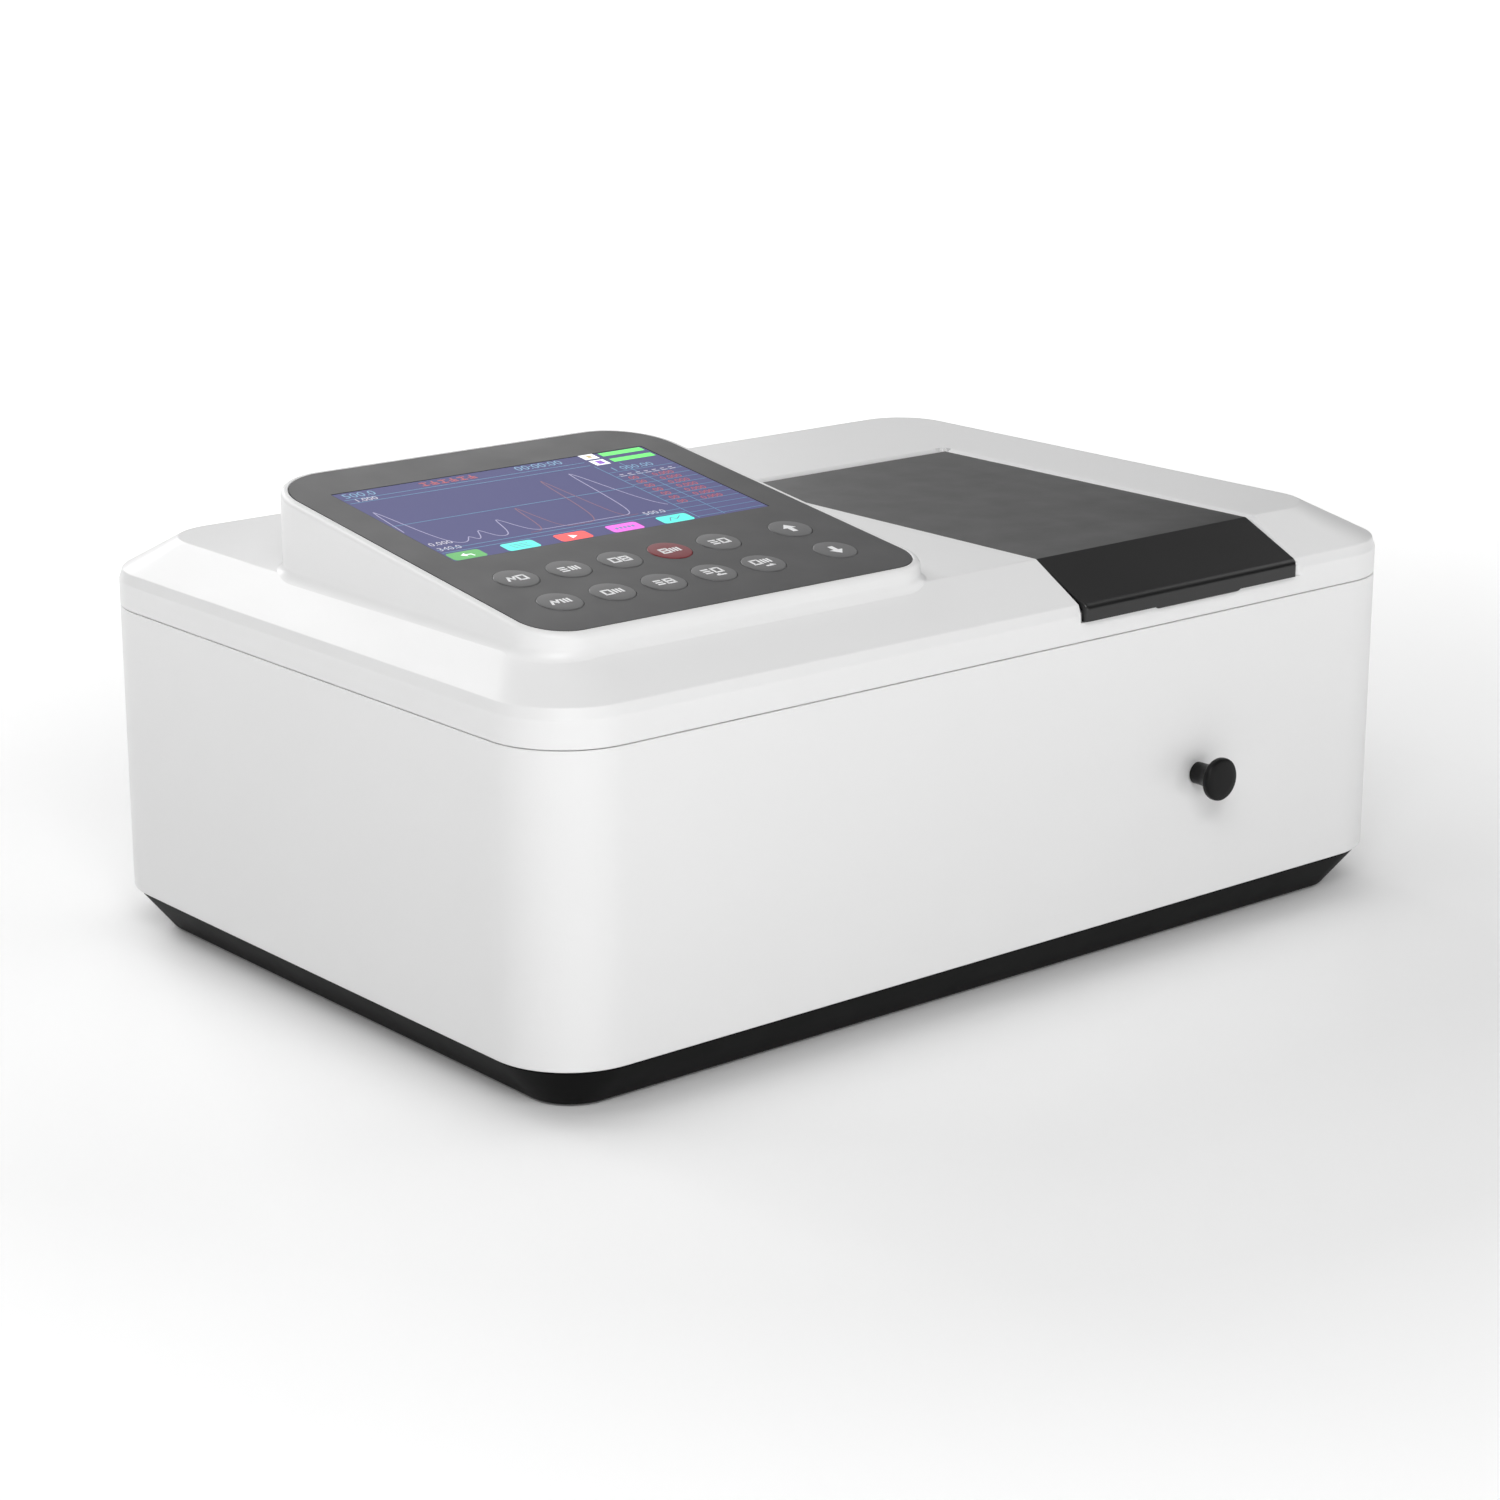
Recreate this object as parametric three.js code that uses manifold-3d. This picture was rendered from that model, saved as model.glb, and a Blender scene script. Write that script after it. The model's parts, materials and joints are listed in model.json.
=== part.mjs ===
// A benchtop spectrophotometer with a sloping console and a four-position cell changer.
//
// Millimetres, +X to the right along the front, -Y towards the user, +Z up. Pieces are laid out
// from the middle of the case, and the whole instrument is then shifted so that the origin lies
// on the table below the middle of its bounding box.

import * as THREE from "three";
import { mergeVertices } from "three/addons/utils/BufferGeometryUtils.js";
import Module from "manifold-3d";

const wasm = await Module();
wasm.setup();

// ---------------------------------------------------------------- driving dimensions

const GAP = 0.3; // left between pieces that touch
const WALL = 3; // moulded shells
const CORNER_STEPS = 7; // facets in each rounded corner
const ROUND_SIDES = 24; // facets of holes and shafts
const FEW_SIDES = 12; // facets of small holes that only clear something
const SHIFT_Y = 6; // from the middle of the case to the middle of the bounding box

const CASE = { left: -230, right: 230, front: -159, back: 159, radius: 34 };
const CASE_BOTTOM = 19.5;
const SEAM = 141.2; // lower case to top cover

const PLINTH = { bottom: 1, floor: 4, taper: 16, shoulder: 1.2 };
const FOOT = { x: 182, y: 114, radius: 8, sunk: 2.3 };

// Top cover: an upright band, a narrow bevel, then a slope up to the plateau.
const COVER = { band: 152.1, bevel: 156.3, bevelInset: 1.5, top: 170.5, cornerRadius: 24 };
const PLATEAU = { left: -212.5, right: 204, front: -133, back: 133, radius: COVER.cornerRadius };

// Console pod: upright walls and a top that tilts towards the user.
const POD = { left: -212.5, right: -21, front: -135, back: 57.5, radius: [20, 30, 30, 20] };
const PANEL = { y: -131.7, z: 177.6, tilt: THREE.MathUtils.degToRad(8.12) };
const OVERLAY = { rim: 3, thickness: 1.2, recess: 1.5 };
const SCREEN = { x: [-193.4, -39.6], s: [79, 163.2] }; // the 7 inch display, s up the slope
const KEY = { radius: 8.8, clearance: 0.3, proud: 0.25, stem: 3, depth: 4.4 };
const KEY_COLUMNS = { first: -183.6, pitch: 24.25, count: 5, arrows: -50.2 };
const KEY_ROWS = { upper: 53.5, lower: 26.4 };
const KEYPAD = { x: [-198, -35], s: [14, 68], z: [-6.7, -5.1] };
const DISPLAY_BACK = { x: 6, s: 5, z: [-8.6, -1.8] }; // how far it reaches round the glass

// Sample compartment and its lid.
const LID = { x: [32, 155.6], crease: -132.5, back: 55.6, slope: 0.49, thickness: 3.6 };
const LIP = { face: -162, bottom: 149.9, foot: 148.9, round: 3 };
const TAB = { x: [71, 120.3] };
const HINGE = { radius: 2.4, pin: 1.2, y: LID.back - 2.4, z: COVER.top - 2.4 };
const SEAT = { depth: 5.3, plate: 3.2, clearance: 0.6, margin: 2.6 };
const CHAMBER = { x: [38.5, 145.5], y: [-121.5, 33.5], z: [36, 161.7], wall: 2.5 };

// Cell changer: a carriage on two rods, pulled by a knob at the front.
const CARRIAGE = { x: 101.7, width: 25, y: [-50, 30], z: [62, 114] };
const CELL = { pitch: 18, count: 4, side: 12.9, floor: 80, port: 4 };
const PULL = { z: 74.7, radius: 3, back: -40.3, front: -166 };
const KNOB = { base: -159.5, face: -174, stem: 4.6, head: 9 };
const BUSH = { sleeve: 5, flange: 7, flangeDepth: 2.3 };
const GUIDE = { offset: 8, z: 67, radius: 2.5, play: 0.4 };

// Light path: lamp at the left, detector at the right, all at one height.
const BEAM = { z: 95, lampY: 15, cellY: -37 };
const BENCH = { left: -216, right: 216, front: -128, back: 140, radius: 12, z: [22, 30] };
const MONO = { x: [-131, 33], y: [-100, 50], z: [30.3, 118], wall: 4 };
const GRATING = { x: -105, y: -50, heading: 17.5, turntable: 18 };
const FOLD_MIRROR = { x: 10, heading: 14.7, size: 28 };
const WHEEL = { x: -155, y: BEAM.lampY, z: 76, radius: 27, pitch: 19, holes: 6, hole: 6, shaft: 2 };
const WHEEL_MOTOR = { x: [-149.5, -134], radius: 11, bracket: 9.5 };
const LAMP_BOX = { x: [-214, -160], y: [-15, 45], z: [30.3, 125], wall: 2 };
const LAMP = { x: -188, socket: 18, socketTop: 66 };
const DETECTOR = { x: [151.5, 208], y: [-70, -5], z: [60, 125], wall: 4 };

// Rear panel.
const FAN = { x: -120, z: 82, side: 60, y: [138, 153], bore: 28, hub: 12, blades: 7 };
const VENT = { slots: 9, pitch: 6, width: 52, height: 3 };
const INLET = { x: 150, z: 60, face: 162, flange: [50, 27], body: [27.4, 19.6], mouth: [24, 16.4] };
const SWITCH = { x: 108, z: 60, pivotY: 158.4, tilt: THREE.MathUtils.degToRad(8) };
const SWITCH_FRAME = { flange: [15.4, 21.6], body: [12.8, 18.8], well: [10.8, 16.8] };
const USB = { x: 62, z: 60, shell: [13.2, 5.8], wall: 0.5, depth: 12 };

// ---------------------------------------------------------------- materials

const finish = (color, roughness, metalness = 0) =>
  new THREE.MeshStandardMaterial({ color, roughness, metalness });

const SHELL_WHITE = finish(0xe4e5e7, 0.45);
const PLINTH_BLACK = finish(0x1d1e20, 0.55);
const LID_GREY = finish(0x3d3d40, 0.25);
const KNOB_BLACK = finish(0x17181a, 0.35);
const OVERLAY_GREY = finish(0x58585a, 0.35);
const KEY_GREY = finish(0x747476, 0.4);
const KEY_RED = finish(0x8c2f36, 0.4);
const SCREEN_BLUE = finish(0x5d5f92, 0.15);
const BOARD_GREEN = finish(0x1f6b3a, 0.5);
const RUBBER = finish(0x141414, 0.85);
const STEEL = finish(0xb9bcc0, 0.3, 0.9);
const ALUMINIUM = finish(0xa8abb0, 0.4, 0.9);
const ANODISED = finish(0x202124, 0.5, 0.3);
const CERAMIC = finish(0xe9e4d6, 0.6);
const GLASS = finish(0xcfe3ea, 0.08);
const MIRROR = finish(0xeceff1, 0.05, 1);
const FILTER_AMBER = finish(0xd98a2b, 0.15);
const SOCKET_BLACK = finish(0x1a1a1a, 0.5);
const NYLON = finish(0xd8d6cc, 0.5);

// ---------------------------------------------------------------- solids

// A geometry as a closed manifold-3d solid whose faces point out.
function solid(geometry) {
  const bare = geometry.clone();
  bare.deleteAttribute("normal");
  bare.deleteAttribute("uv");
  const shared = mergeVertices(bare, 1e-4);
  const corners = [];
  for (let i = 0; i < shared.index.count; i += 3) {
    const [a, b, c] = [0, 1, 2].map((k) => shared.index.getX(i + k));
    if (a !== b && b !== c && c !== a) corners.push(a, b, c);
  }
  const closed = (triVerts) =>
    new wasm.Manifold(
      new wasm.Mesh({ numProp: 3, vertProperties: shared.attributes.position.array, triVerts }),
    );
  const made = closed(new Uint32Array(corners));
  return made.volume() < 0 ? closed(new Uint32Array(corners.reverse())) : made;
}

function geometryOf(made) {
  const { vertProperties, triVerts } = made.getMesh();
  return new THREE.BufferGeometry()
    .setAttribute("position", new THREE.BufferAttribute(new Float32Array(vertProperties), 3))
    .setIndex(new THREE.BufferAttribute(new Uint32Array(triVerts), 1));
}

const cut = (base, ...tools) =>
  geometryOf(tools.reduce((left, tool) => left.subtract(solid(tool)), solid(base)));
const join = (first, ...others) =>
  geometryOf(others.reduce((sum, other) => sum.add(solid(other)), solid(first)));
const common = (a, b) => geometryOf(solid(a).intersect(solid(b)));

const middle = ([low, high]) => (low + high) / 2;
const span = (centre, size) => [centre - size / 2, centre + size / 2];
const larger = (size, by) => size.map((side) => side + 2 * by);
const grow = ([low, high], by) => [low - by, high + by];

function block([x0, x1], [y0, y1], [z0, z1]) {
  const box = new THREE.BoxGeometry(x1 - x0, y1 - y0, z1 - z0);
  return box.translate((x0 + x1) / 2, (y0 + y1) / 2, (z0 + z1) / 2);
}

// A block through the rear wall: its place and size in X and Z, and its reach in Y.
const rearBlock = ({ x, z }, [width, height], y) => block(span(x, width), y, span(z, height));

// A cylinder along an axis; [u, v] places it in the two other axes, in X, Y, Z order.
function rod(axis, radius, [from, to], [u, v], sides = ROUND_SIDES) {
  const cylinder = new THREE.CylinderGeometry(radius, radius, to - from, sides);
  const mid = (from + to) / 2;
  if (axis === "x") return cylinder.rotateZ(Math.PI / 2).translate(mid, u, v);
  if (axis === "y") return cylinder.translate(u, mid, v);
  return cylinder.rotateX(Math.PI / 2).translate(u, v, mid);
}

// A profile of [radius, height] pairs, starting and ending on the axis, turned about Z.
function turned(profile, sides = ROUND_SIDES) {
  const points = profile.map(([radius, height]) => new THREE.Vector2(radius, height));
  return geometryOf(solid(new THREE.LatheGeometry(points, sides).rotateX(Math.PI / 2)));
}

const extrude = (points, depth) =>
  new THREE.ExtrudeGeometry(new THREE.Shape(points.map(([u, v]) => new THREE.Vector2(u, v))), {
    depth,
    bevelEnabled: false,
  });

// An outline in Y and Z drawn out along X, and an outline in X and Y drawn up along Z.
function prismX(points, [from, to]) {
  const axes = new THREE.Matrix4().makeBasis(
    new THREE.Vector3(0, 1, 0),
    new THREE.Vector3(0, 0, 1),
    new THREE.Vector3(1, 0, 0),
  );
  return extrude(points, to - from).applyMatrix4(axes).translate(from, 0, 0);
}
const prismZ = (points, [from, to]) => extrude(points, to - from).translate(0, 0, from);

// Rounded rectangle as [x, y] points, anticlockwise from the front right corner.
function outline({ left, right, front, back, radius }) {
  const radii = Array.isArray(radius) ? radius : [radius, radius, radius, radius];
  const corners = [
    [right, -1, front, 1],
    [right, -1, back, -1],
    [left, 1, back, -1],
    [left, 1, front, 1],
  ];
  return corners.flatMap(([x, intoX, y, intoY], corner) =>
    Array.from({ length: CORNER_STEPS + 1 }, (_, step) => {
      const r = radii[corner];
      const angle = (Math.PI / 2) * (corner - 1 + step / CORNER_STEPS);
      return [x + intoX * r + r * Math.cos(angle), y + intoY * r + r * Math.sin(angle)];
    }),
  );
}

function inset({ left, right, front, back, radius }, by) {
  return {
    left: left + by,
    right: right - by,
    front: front + by,
    back: back - by,
    radius: Array.isArray(radius) ? radius.map((r) => r - by) : radius - by,
  };
}

// A closed body through stacked outlines. A layer's height is a number, or a function of [x, y].
function loft(layers) {
  const rings = layers.map(([area, height]) =>
    outline(area).map(([x, y]) => [x, y, typeof height === "function" ? height([x, y]) : height]),
  );
  const count = rings[0].length;
  const index = [];
  for (let layer = 0; layer + 1 < rings.length; layer += 1)
    for (let i = 0; i < count; i += 1) {
      const [a, b] = [layer * count + i, layer * count + ((i + 1) % count)];
      index.push(a, b, b + count, a, b + count, a + count);
    }
  const flat = (ring) => ring.map(([x, y]) => new THREE.Vector2(x, y));
  const top = (rings.length - 1) * count;
  THREE.ShapeUtils.triangulateShape(flat(rings[0]), []).forEach(([a, b, c]) => index.push(c, b, a));
  THREE.ShapeUtils.triangulateShape(flat(rings.at(-1)), []).forEach(([a, b, c]) =>
    index.push(top + a, top + b, top + c),
  );
  return new THREE.BufferGeometry()
    .setAttribute("position", new THREE.Float32BufferAttribute(rings.flat(2), 3))
    .setIndex(index);
}

function piece(name, geometry, material, parent) {
  const mesh = new THREE.Mesh(geometry, material);
  mesh.name = name;
  parent.add(mesh);
  return mesh;
}

const instrument = new THREE.Group();
instrument.position.y = SHIFT_Y;

// ---------------------------------------------------------------- base and lower case

function addBase() {
  const narrow = inset(CASE, PLINTH.taper);
  const wide = inset(CASE, PLINTH.shoulder);
  const top = CASE_BOTTOM - GAP;
  const outer = loft([[narrow, PLINTH.bottom], [wide, top]]);
  const floor = PLINTH.bottom + PLINTH.floor;
  const hollow = loft([[inset(narrow, WALL), floor], [inset(wide, WALL), top + 1]]);
  const places = [-1, 1].flatMap((sx) => [-1, 1].map((sy) => [sx * FOOT.x, sy * FOOT.y]));
  const pocketTop = PLINTH.bottom + FOOT.sunk;
  const pockets = places.map((at) => rod("z", FOOT.radius + GAP, [0, pocketTop], at));
  piece("base_plinth", cut(outer, hollow, ...pockets), PLINTH_BLACK, instrument);

  const names = ["foot_front_left", "foot_back_left", "foot_front_right", "foot_back_right"];
  const footTop = pocketTop - GAP;
  const sole = FOOT.radius - 1;
  const profile = [[0, 0], [sole, 0], [FOOT.radius, 1], [FOOT.radius, footTop], [0, footTop]];
  places.forEach(([x, y], i) => {
    piece(names[i], turned(profile), RUBBER, instrument).position.set(x, y, 0);
  });
  piece("optical_bench", prismZ(outline(BENCH), BENCH.z), ALUMINIUM, instrument);
}

const throughBack = grow([CASE.back - WALL, CASE.back], 6);

function ventSlots() {
  return Array.from({ length: VENT.slots }, (_, i) => {
    const z = FAN.z + (i - (VENT.slots - 1) / 2) * VENT.pitch;
    return rearBlock({ x: FAN.x, z }, [VENT.width, VENT.height], throughBack);
  });
}

function addLowerCase() {
  const walls = [CASE_BOTTOM, SEAM - GAP];
  const outside = prismZ(outline(CASE), walls);
  const inside = prismZ(outline(inset(CASE, WALL)), grow(walls, 1));
  const lowerCase = cut(
    outside,
    inside,
    rod("y", PULL.radius + 0.5, [-170, -150], [CARRIAGE.x, PULL.z]),
    rearBlock(INLET, larger(INLET.body, GAP), throughBack),
    rearBlock(SWITCH, larger(SWITCH_FRAME.body, GAP), throughBack),
    rearBlock(USB, larger(USB.shell, GAP), throughBack),
    ...ventSlots(),
  );
  piece("lower_case", lowerCase, SHELL_WHITE, instrument);
}

// ---------------------------------------------------------------- top cover and lid

// Height of the lid's upper surface over a point of its slope, lowered by some depth.
const lidSlope = (y, depth) => COVER.top - (LID.crease - y) * LID.slope - depth;
const SLANT = Math.hypot(1, LID.slope); // vertical depth for one unit square to the slope

// Everything under the lid's upper surface lowered by a depth, as an outline in Y and Z.
function underLid(depth, back) {
  const reach = -175;
  const bend = LID.crease + depth * LID.slope * 0.5;
  return [
    [reach, 100],
    [reach, lidSlope(reach, depth * SLANT)],
    [bend, COVER.top - depth],
    [back, COVER.top - depth],
    [back, 100],
  ];
}

function addTopCover() {
  const outer = loft([
    [CASE, SEAM],
    [CASE, COVER.band],
    [inset(CASE, COVER.bevelInset), COVER.bevel],
    [PLATEAU, COVER.top],
  ]);
  const inner = loft([
    [inset(CASE, WALL), SEAM - 1],
    [inset(CASE, WALL), COVER.band + 1.4],
    [inset(PLATEAU, 1), COVER.top - WALL],
  ]);
  const seatX = grow(LID.x, SEAT.clearance + SEAT.margin);
  const seatY = [-170, LID.back + SEAT.clearance + SEAT.margin];
  const around = block(seatX, seatY, [SEAM, 180]);
  const below = prismX(underLid(SEAT.depth + SEAT.plate, 80), grow(seatX, 5));
  const inFront = block(grow(seatX, 5), [-156, -100], [SEAM - 5, 150]);
  const seat = cut(common(outer, around), below, inFront);
  const pocketX = grow(LID.x, SEAT.clearance);
  const pocket = cut(
    block(pocketX, [-174, LID.back + SEAT.clearance], [SEAM - 2, 190]),
    prismX(underLid(SEAT.depth, 80), grow(pocketX, 5)),
  );
  const cover = cut(
    join(cut(outer, inner), seat),
    pocket,
    block(CHAMBER.x, CHAMBER.y, [140, 180]),
    block([-140, -104], [-20, 0], [160, 175]),
    rod("x", HINGE.pin + GAP, grow(LID.x, 4.6), [HINGE.y, HINGE.z]),
  );
  piece("top_cover", cover, SHELL_WHITE, instrument);
}

function lidProfile() {
  const arc = (y, z, radius, from, to, steps) =>
    Array.from({ length: steps + 1 }, (_, i) => {
      const angle = THREE.MathUtils.degToRad(from + ((to - from) * i) / steps);
      return [y + radius * Math.cos(angle), z + radius * Math.sin(angle)];
    });
  const innerZ = COVER.top - LID.thickness;
  const innerY = CASE.front - SEAT.clearance;
  const tilt = THREE.MathUtils.radToDeg(Math.atan(LID.slope));
  const lipCentre = LIP.face + LIP.round;
  const lipTop = lidSlope(lipCentre, LIP.round * SLANT);
  return [
    [innerY, LIP.bottom],
    [innerY, lidSlope(innerY, LID.thickness * SLANT)],
    [LID.crease + LID.thickness * LID.slope * 0.5, innerZ],
    [HINGE.y - 3.4, innerZ],
    ...arc(HINGE.y, HINGE.z, HINGE.radius, -135, 90, 12),
    [LID.crease, COVER.top],
    ...arc(lipCentre, lipTop, LIP.round, 90 + tilt, 180, 4),
    [LIP.face, LIP.bottom],
  ];
}

function addLid() {
  const shell = prismX(lidProfile(), LID.x);
  const rimX = grow(CHAMBER.x, -2.5);
  const rimY = grow(CHAMBER.y, -2.5);
  const rimZ = [COVER.top - 10, COVER.top - LID.thickness + 1];
  const rim = cut(block(rimX, rimY, rimZ), block(grow(rimX, -2.5), grow(rimY, -2.5), [150, 167]));
  const tab = block(TAB.x, [LIP.face, CASE.front - SEAT.clearance], [LIP.foot, LIP.bottom + 1]);
  const bore = rod("x", HINGE.pin + GAP, grow(LID.x, 1), [HINGE.y, HINGE.z]);
  piece("lid", cut(join(shell, rim, tab), bore), LID_GREY, instrument);

  const pin = rod("x", HINGE.pin, grow(LID.x, 4.2), [HINGE.y, HINGE.z]);
  piece("lid_hinge_pin", pin, STEEL, instrument);

  const gasketZ = [COVER.top - SEAT.depth + GAP, COVER.top - LID.thickness - GAP];
  const ring = (by, z) => block(grow(CHAMBER.x, by), grow(CHAMBER.y, by), z);
  piece("lid_gasket", cut(ring(4, gasketZ), ring(1.2, grow(gasketZ, 1))), RUBBER, instrument);
}

// ---------------------------------------------------------------- console

const panelMatrix = new THREE.Matrix4()
  .makeRotationX(PANEL.tilt)
  .setPosition(0, PANEL.y, PANEL.z);
const onPanel = (geometry) => geometry.applyMatrix4(panelMatrix);
const panelHeight = (drop) => ([, y]) => PANEL.z + (y - PANEL.y) * Math.tan(PANEL.tilt) - drop;

// The pod's outline drawn in the tilted panel's own plane.
function panelOutline(by) {
  const area = inset(POD, by);
  const up = (y) => (y - PANEL.y) / Math.cos(PANEL.tilt);
  return { ...area, front: up(area.front), back: up(area.back) };
}

function keyPlaces() {
  const { first, pitch, count, arrows } = KEY_COLUMNS;
  const place = (row, s, i) => ({ name: `key_${row}_${i + 1}`, x: first + i * pitch, s });
  const rows = Object.entries(KEY_ROWS).flatMap(([row, s]) =>
    Array.from({ length: count }, (_, i) => place(row, s, i)),
  );
  return [
    ...rows,
    { name: "key_up", x: arrows, s: KEY_ROWS.upper },
    { name: "key_down", x: arrows, s: KEY_ROWS.lower },
  ];
}

function addConsole() {
  const shell = loft([
    [POD, COVER.top + GAP],
    [POD, panelHeight(2.4)],
    [inset(POD, 0.8), panelHeight(0.7)],
    [inset(POD, 2.4), panelHeight(0)],
  ]);
  const inside = loft([[inset(POD, 5.5), COVER.top - 1], [inset(POD, 5.5), panelHeight(4.4)]]);
  const recess = onPanel(prismZ(outline(panelOutline(OVERLAY.rim)), [-OVERLAY.recess, 6]));
  const behindScreen = [grow(SCREEN.x, DISPLAY_BACK.x + 0.6), grow(SCREEN.s, DISPLAY_BACK.s + 0.6)];
  const screenGap = onPanel(block(...behindScreen, [-8, 1]));
  const keyGap = onPanel(block(grow(KEYPAD.x, -1), grow(KEYPAD.s, -0.8), [-8, 1]));
  piece("console_housing", cut(shell, inside, recess, screenGap, keyGap), SHELL_WHITE, instrument);

  const panel = new THREE.Group();
  panel.position.set(0, PANEL.y, PANEL.z);
  panel.rotation.x = PANEL.tilt;
  instrument.add(panel);

  const keys = keyPlaces();
  const plate = prismZ(outline(panelOutline(OVERLAY.rim + GAP)), [-OVERLAY.thickness, 0]);
  const holes = keys.map(({ x, s }) => rod("z", KEY.radius + KEY.clearance, [-5, 5], [x, s]));
  const overlay = cut(plate, block(SCREEN.x, SCREEN.s, [-5, 5]), ...holes);
  piece("console_overlay", overlay, OVERLAY_GREY, panel);

  const glass = block(grow(SCREEN.x, -GAP), grow(SCREEN.s, -GAP), [-1.3, -0.1]);
  piece("display_glass", glass, SCREEN_BLUE, panel);
  const behind = [grow(SCREEN.x, DISPLAY_BACK.x), grow(SCREEN.s, DISPLAY_BACK.s), DISPLAY_BACK.z];
  piece("display_module", block(...behind), STEEL, panel);
  piece("keypad_board", block(KEYPAD.x, KEYPAD.s, KEYPAD.z), BOARD_GREEN, panel);

  const cap = [
    [0, -KEY.depth],
    [KEY.stem, -KEY.depth],
    [KEY.stem, -1.2],
    [KEY.radius, -1.2],
    [KEY.radius, 0],
    [KEY.radius - 0.4, KEY.proud],
    [0, KEY.proud],
  ];
  keys.forEach(({ name, x, s }) => {
    const paint = name === "key_upper_4" ? KEY_RED : KEY_GREY;
    piece(name, turned(cap), paint, panel).position.set(x, s, 0);
  });
}

// ---------------------------------------------------------------- sample compartment

function addSampleCompartment() {
  const { x, y, z, wall } = CHAMBER;
  const outside = block(grow(x, wall), grow(y, wall), [z[0] - wall, z[1]]);
  const chamber = cut(
    outside,
    block(x, y, [z[0], z[1] + 5]),
    rod("x", 6, grow(x, 10), [BEAM.cellY, BEAM.z]),
    rod("y", BUSH.sleeve + GAP, [y[0] - 10, y[0] + 10], [CARRIAGE.x, PULL.z]),
  );
  piece("sample_compartment", chamber, ANODISED, instrument);

  const rodY = grow(y, -GAP);
  [["guide_rod_left", -1], ["guide_rod_right", 1]].forEach(([name, side]) => {
    const at = [CARRIAGE.x + side * GUIDE.offset, GUIDE.z];
    piece(name, rod("y", GUIDE.radius, rodY, at), STEEL, instrument);
  });

  const bushY = y[0] - wall;
  const axis = [CARRIAGE.x, PULL.z];
  const sleeve = join(
    rod("y", BUSH.sleeve, [bushY - 2.5, y[0] + 1], axis),
    rod("y", BUSH.flange, [y[0] + GAP, y[0] + BUSH.flangeDepth], axis),
  );
  const bore = rod("y", PULL.radius + GAP, [bushY - 5, y[0] + 5], axis);
  piece("rod_bushing", cut(sleeve, bore), NYLON, instrument);
}

function addCellChanger() {
  const wide = span(CARRIAGE.x, CARRIAGE.width);
  const cells = Array.from({ length: CELL.count }, (_, i) => BEAM.cellY + i * CELL.pitch);
  const carriage = cut(
    block(wide, CARRIAGE.y, CARRIAGE.z),
    ...cells.map((y) => block(span(CARRIAGE.x, CELL.side), span(y, CELL.side), [CELL.floor, 130])),
    ...cells.map((y) => rod("x", CELL.port, grow(wide, 1), [y, BEAM.z], FEW_SIDES)),
    ...[-1, 1].map((side) => {
      const at = [CARRIAGE.x + side * GUIDE.offset, GUIDE.z];
      return rod("y", GUIDE.radius + GUIDE.play, grow(CARRIAGE.y, 1), at, FEW_SIDES);
    }),
    rod("y", PULL.radius + GAP, [CARRIAGE.y[0] - 1, PULL.back + GAP], [CARRIAGE.x, PULL.z], FEW_SIDES),
  );
  piece("cell_carriage", carriage, ANODISED, instrument);

  const pull = rod("y", PULL.radius, [PULL.front, PULL.back], [CARRIAGE.x, PULL.z]);
  piece("pull_rod", pull, STEEL, instrument);

  const length = KNOB.base - KNOB.face;
  const profile = [
    [0, 0],
    [KNOB.stem, 0],
    [KNOB.stem, 5],
    [5.2, 7.5],
    [6.8, 9.6],
    [KNOB.head - 0.6, 11],
    [KNOB.head, 12],
    [KNOB.head, 13.2],
    [KNOB.head - 1.3, length],
    [0, length],
  ];
  const bore = rod("z", PULL.radius + GAP, [-1, KNOB.base - PULL.front + GAP], [0, 0]);
  const knob = piece("pull_knob", cut(turned(profile, 36), bore), KNOB_BLACK, instrument);
  knob.position.set(CARRIAGE.x, KNOB.base, PULL.z);
  knob.rotation.x = Math.PI / 2;
}

// ---------------------------------------------------------------- optics

function addLightSource() {
  const { x, y, z, wall } = LAMP_BOX;
  const louvres = [-12, -4, 4, 12].map((across) =>
    block([x[0] - 5, x[0] + 5], span(BEAM.lampY + across, 3), [50, 105]),
  );
  const box = cut(
    block(x, y, z),
    block(grow(x, -wall), grow(y, -wall), [z[0] + wall, z[1] + 5]),
    rod("x", 8, [x[1] - 5, x[1] + 5], [BEAM.lampY, BEAM.z]),
    ...louvres,
  );
  piece("lamp_housing", box, ALUMINIUM, instrument);

  const base = [z[0] + wall + GAP, LAMP.socketTop];
  const socket = block(span(LAMP.x, LAMP.socket), span(BEAM.lampY, LAMP.socket), base);
  piece("lamp_socket", socket, CERAMIC, instrument);
  const bulb = [[0, 0], [5, 0], [5, 14], [6.2, 17], [6.2, 34], [4.4, 38], [1.6, 40], [0, 40]];
  const lamp = piece("halogen_lamp", turned(bulb), GLASS, instrument);
  lamp.position.set(LAMP.x, BEAM.lampY, LAMP.socketTop + GAP);

  const dish = [[0, 0], [14, 4.5], [14, 6.5], [0, 2]];
  const reflector = piece("source_mirror", turned(dish), MIRROR, instrument);
  reflector.position.set(x[0] + wall + 1.5, BEAM.lampY, BEAM.z);
  reflector.rotation.y = Math.PI / 2;
}

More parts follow.
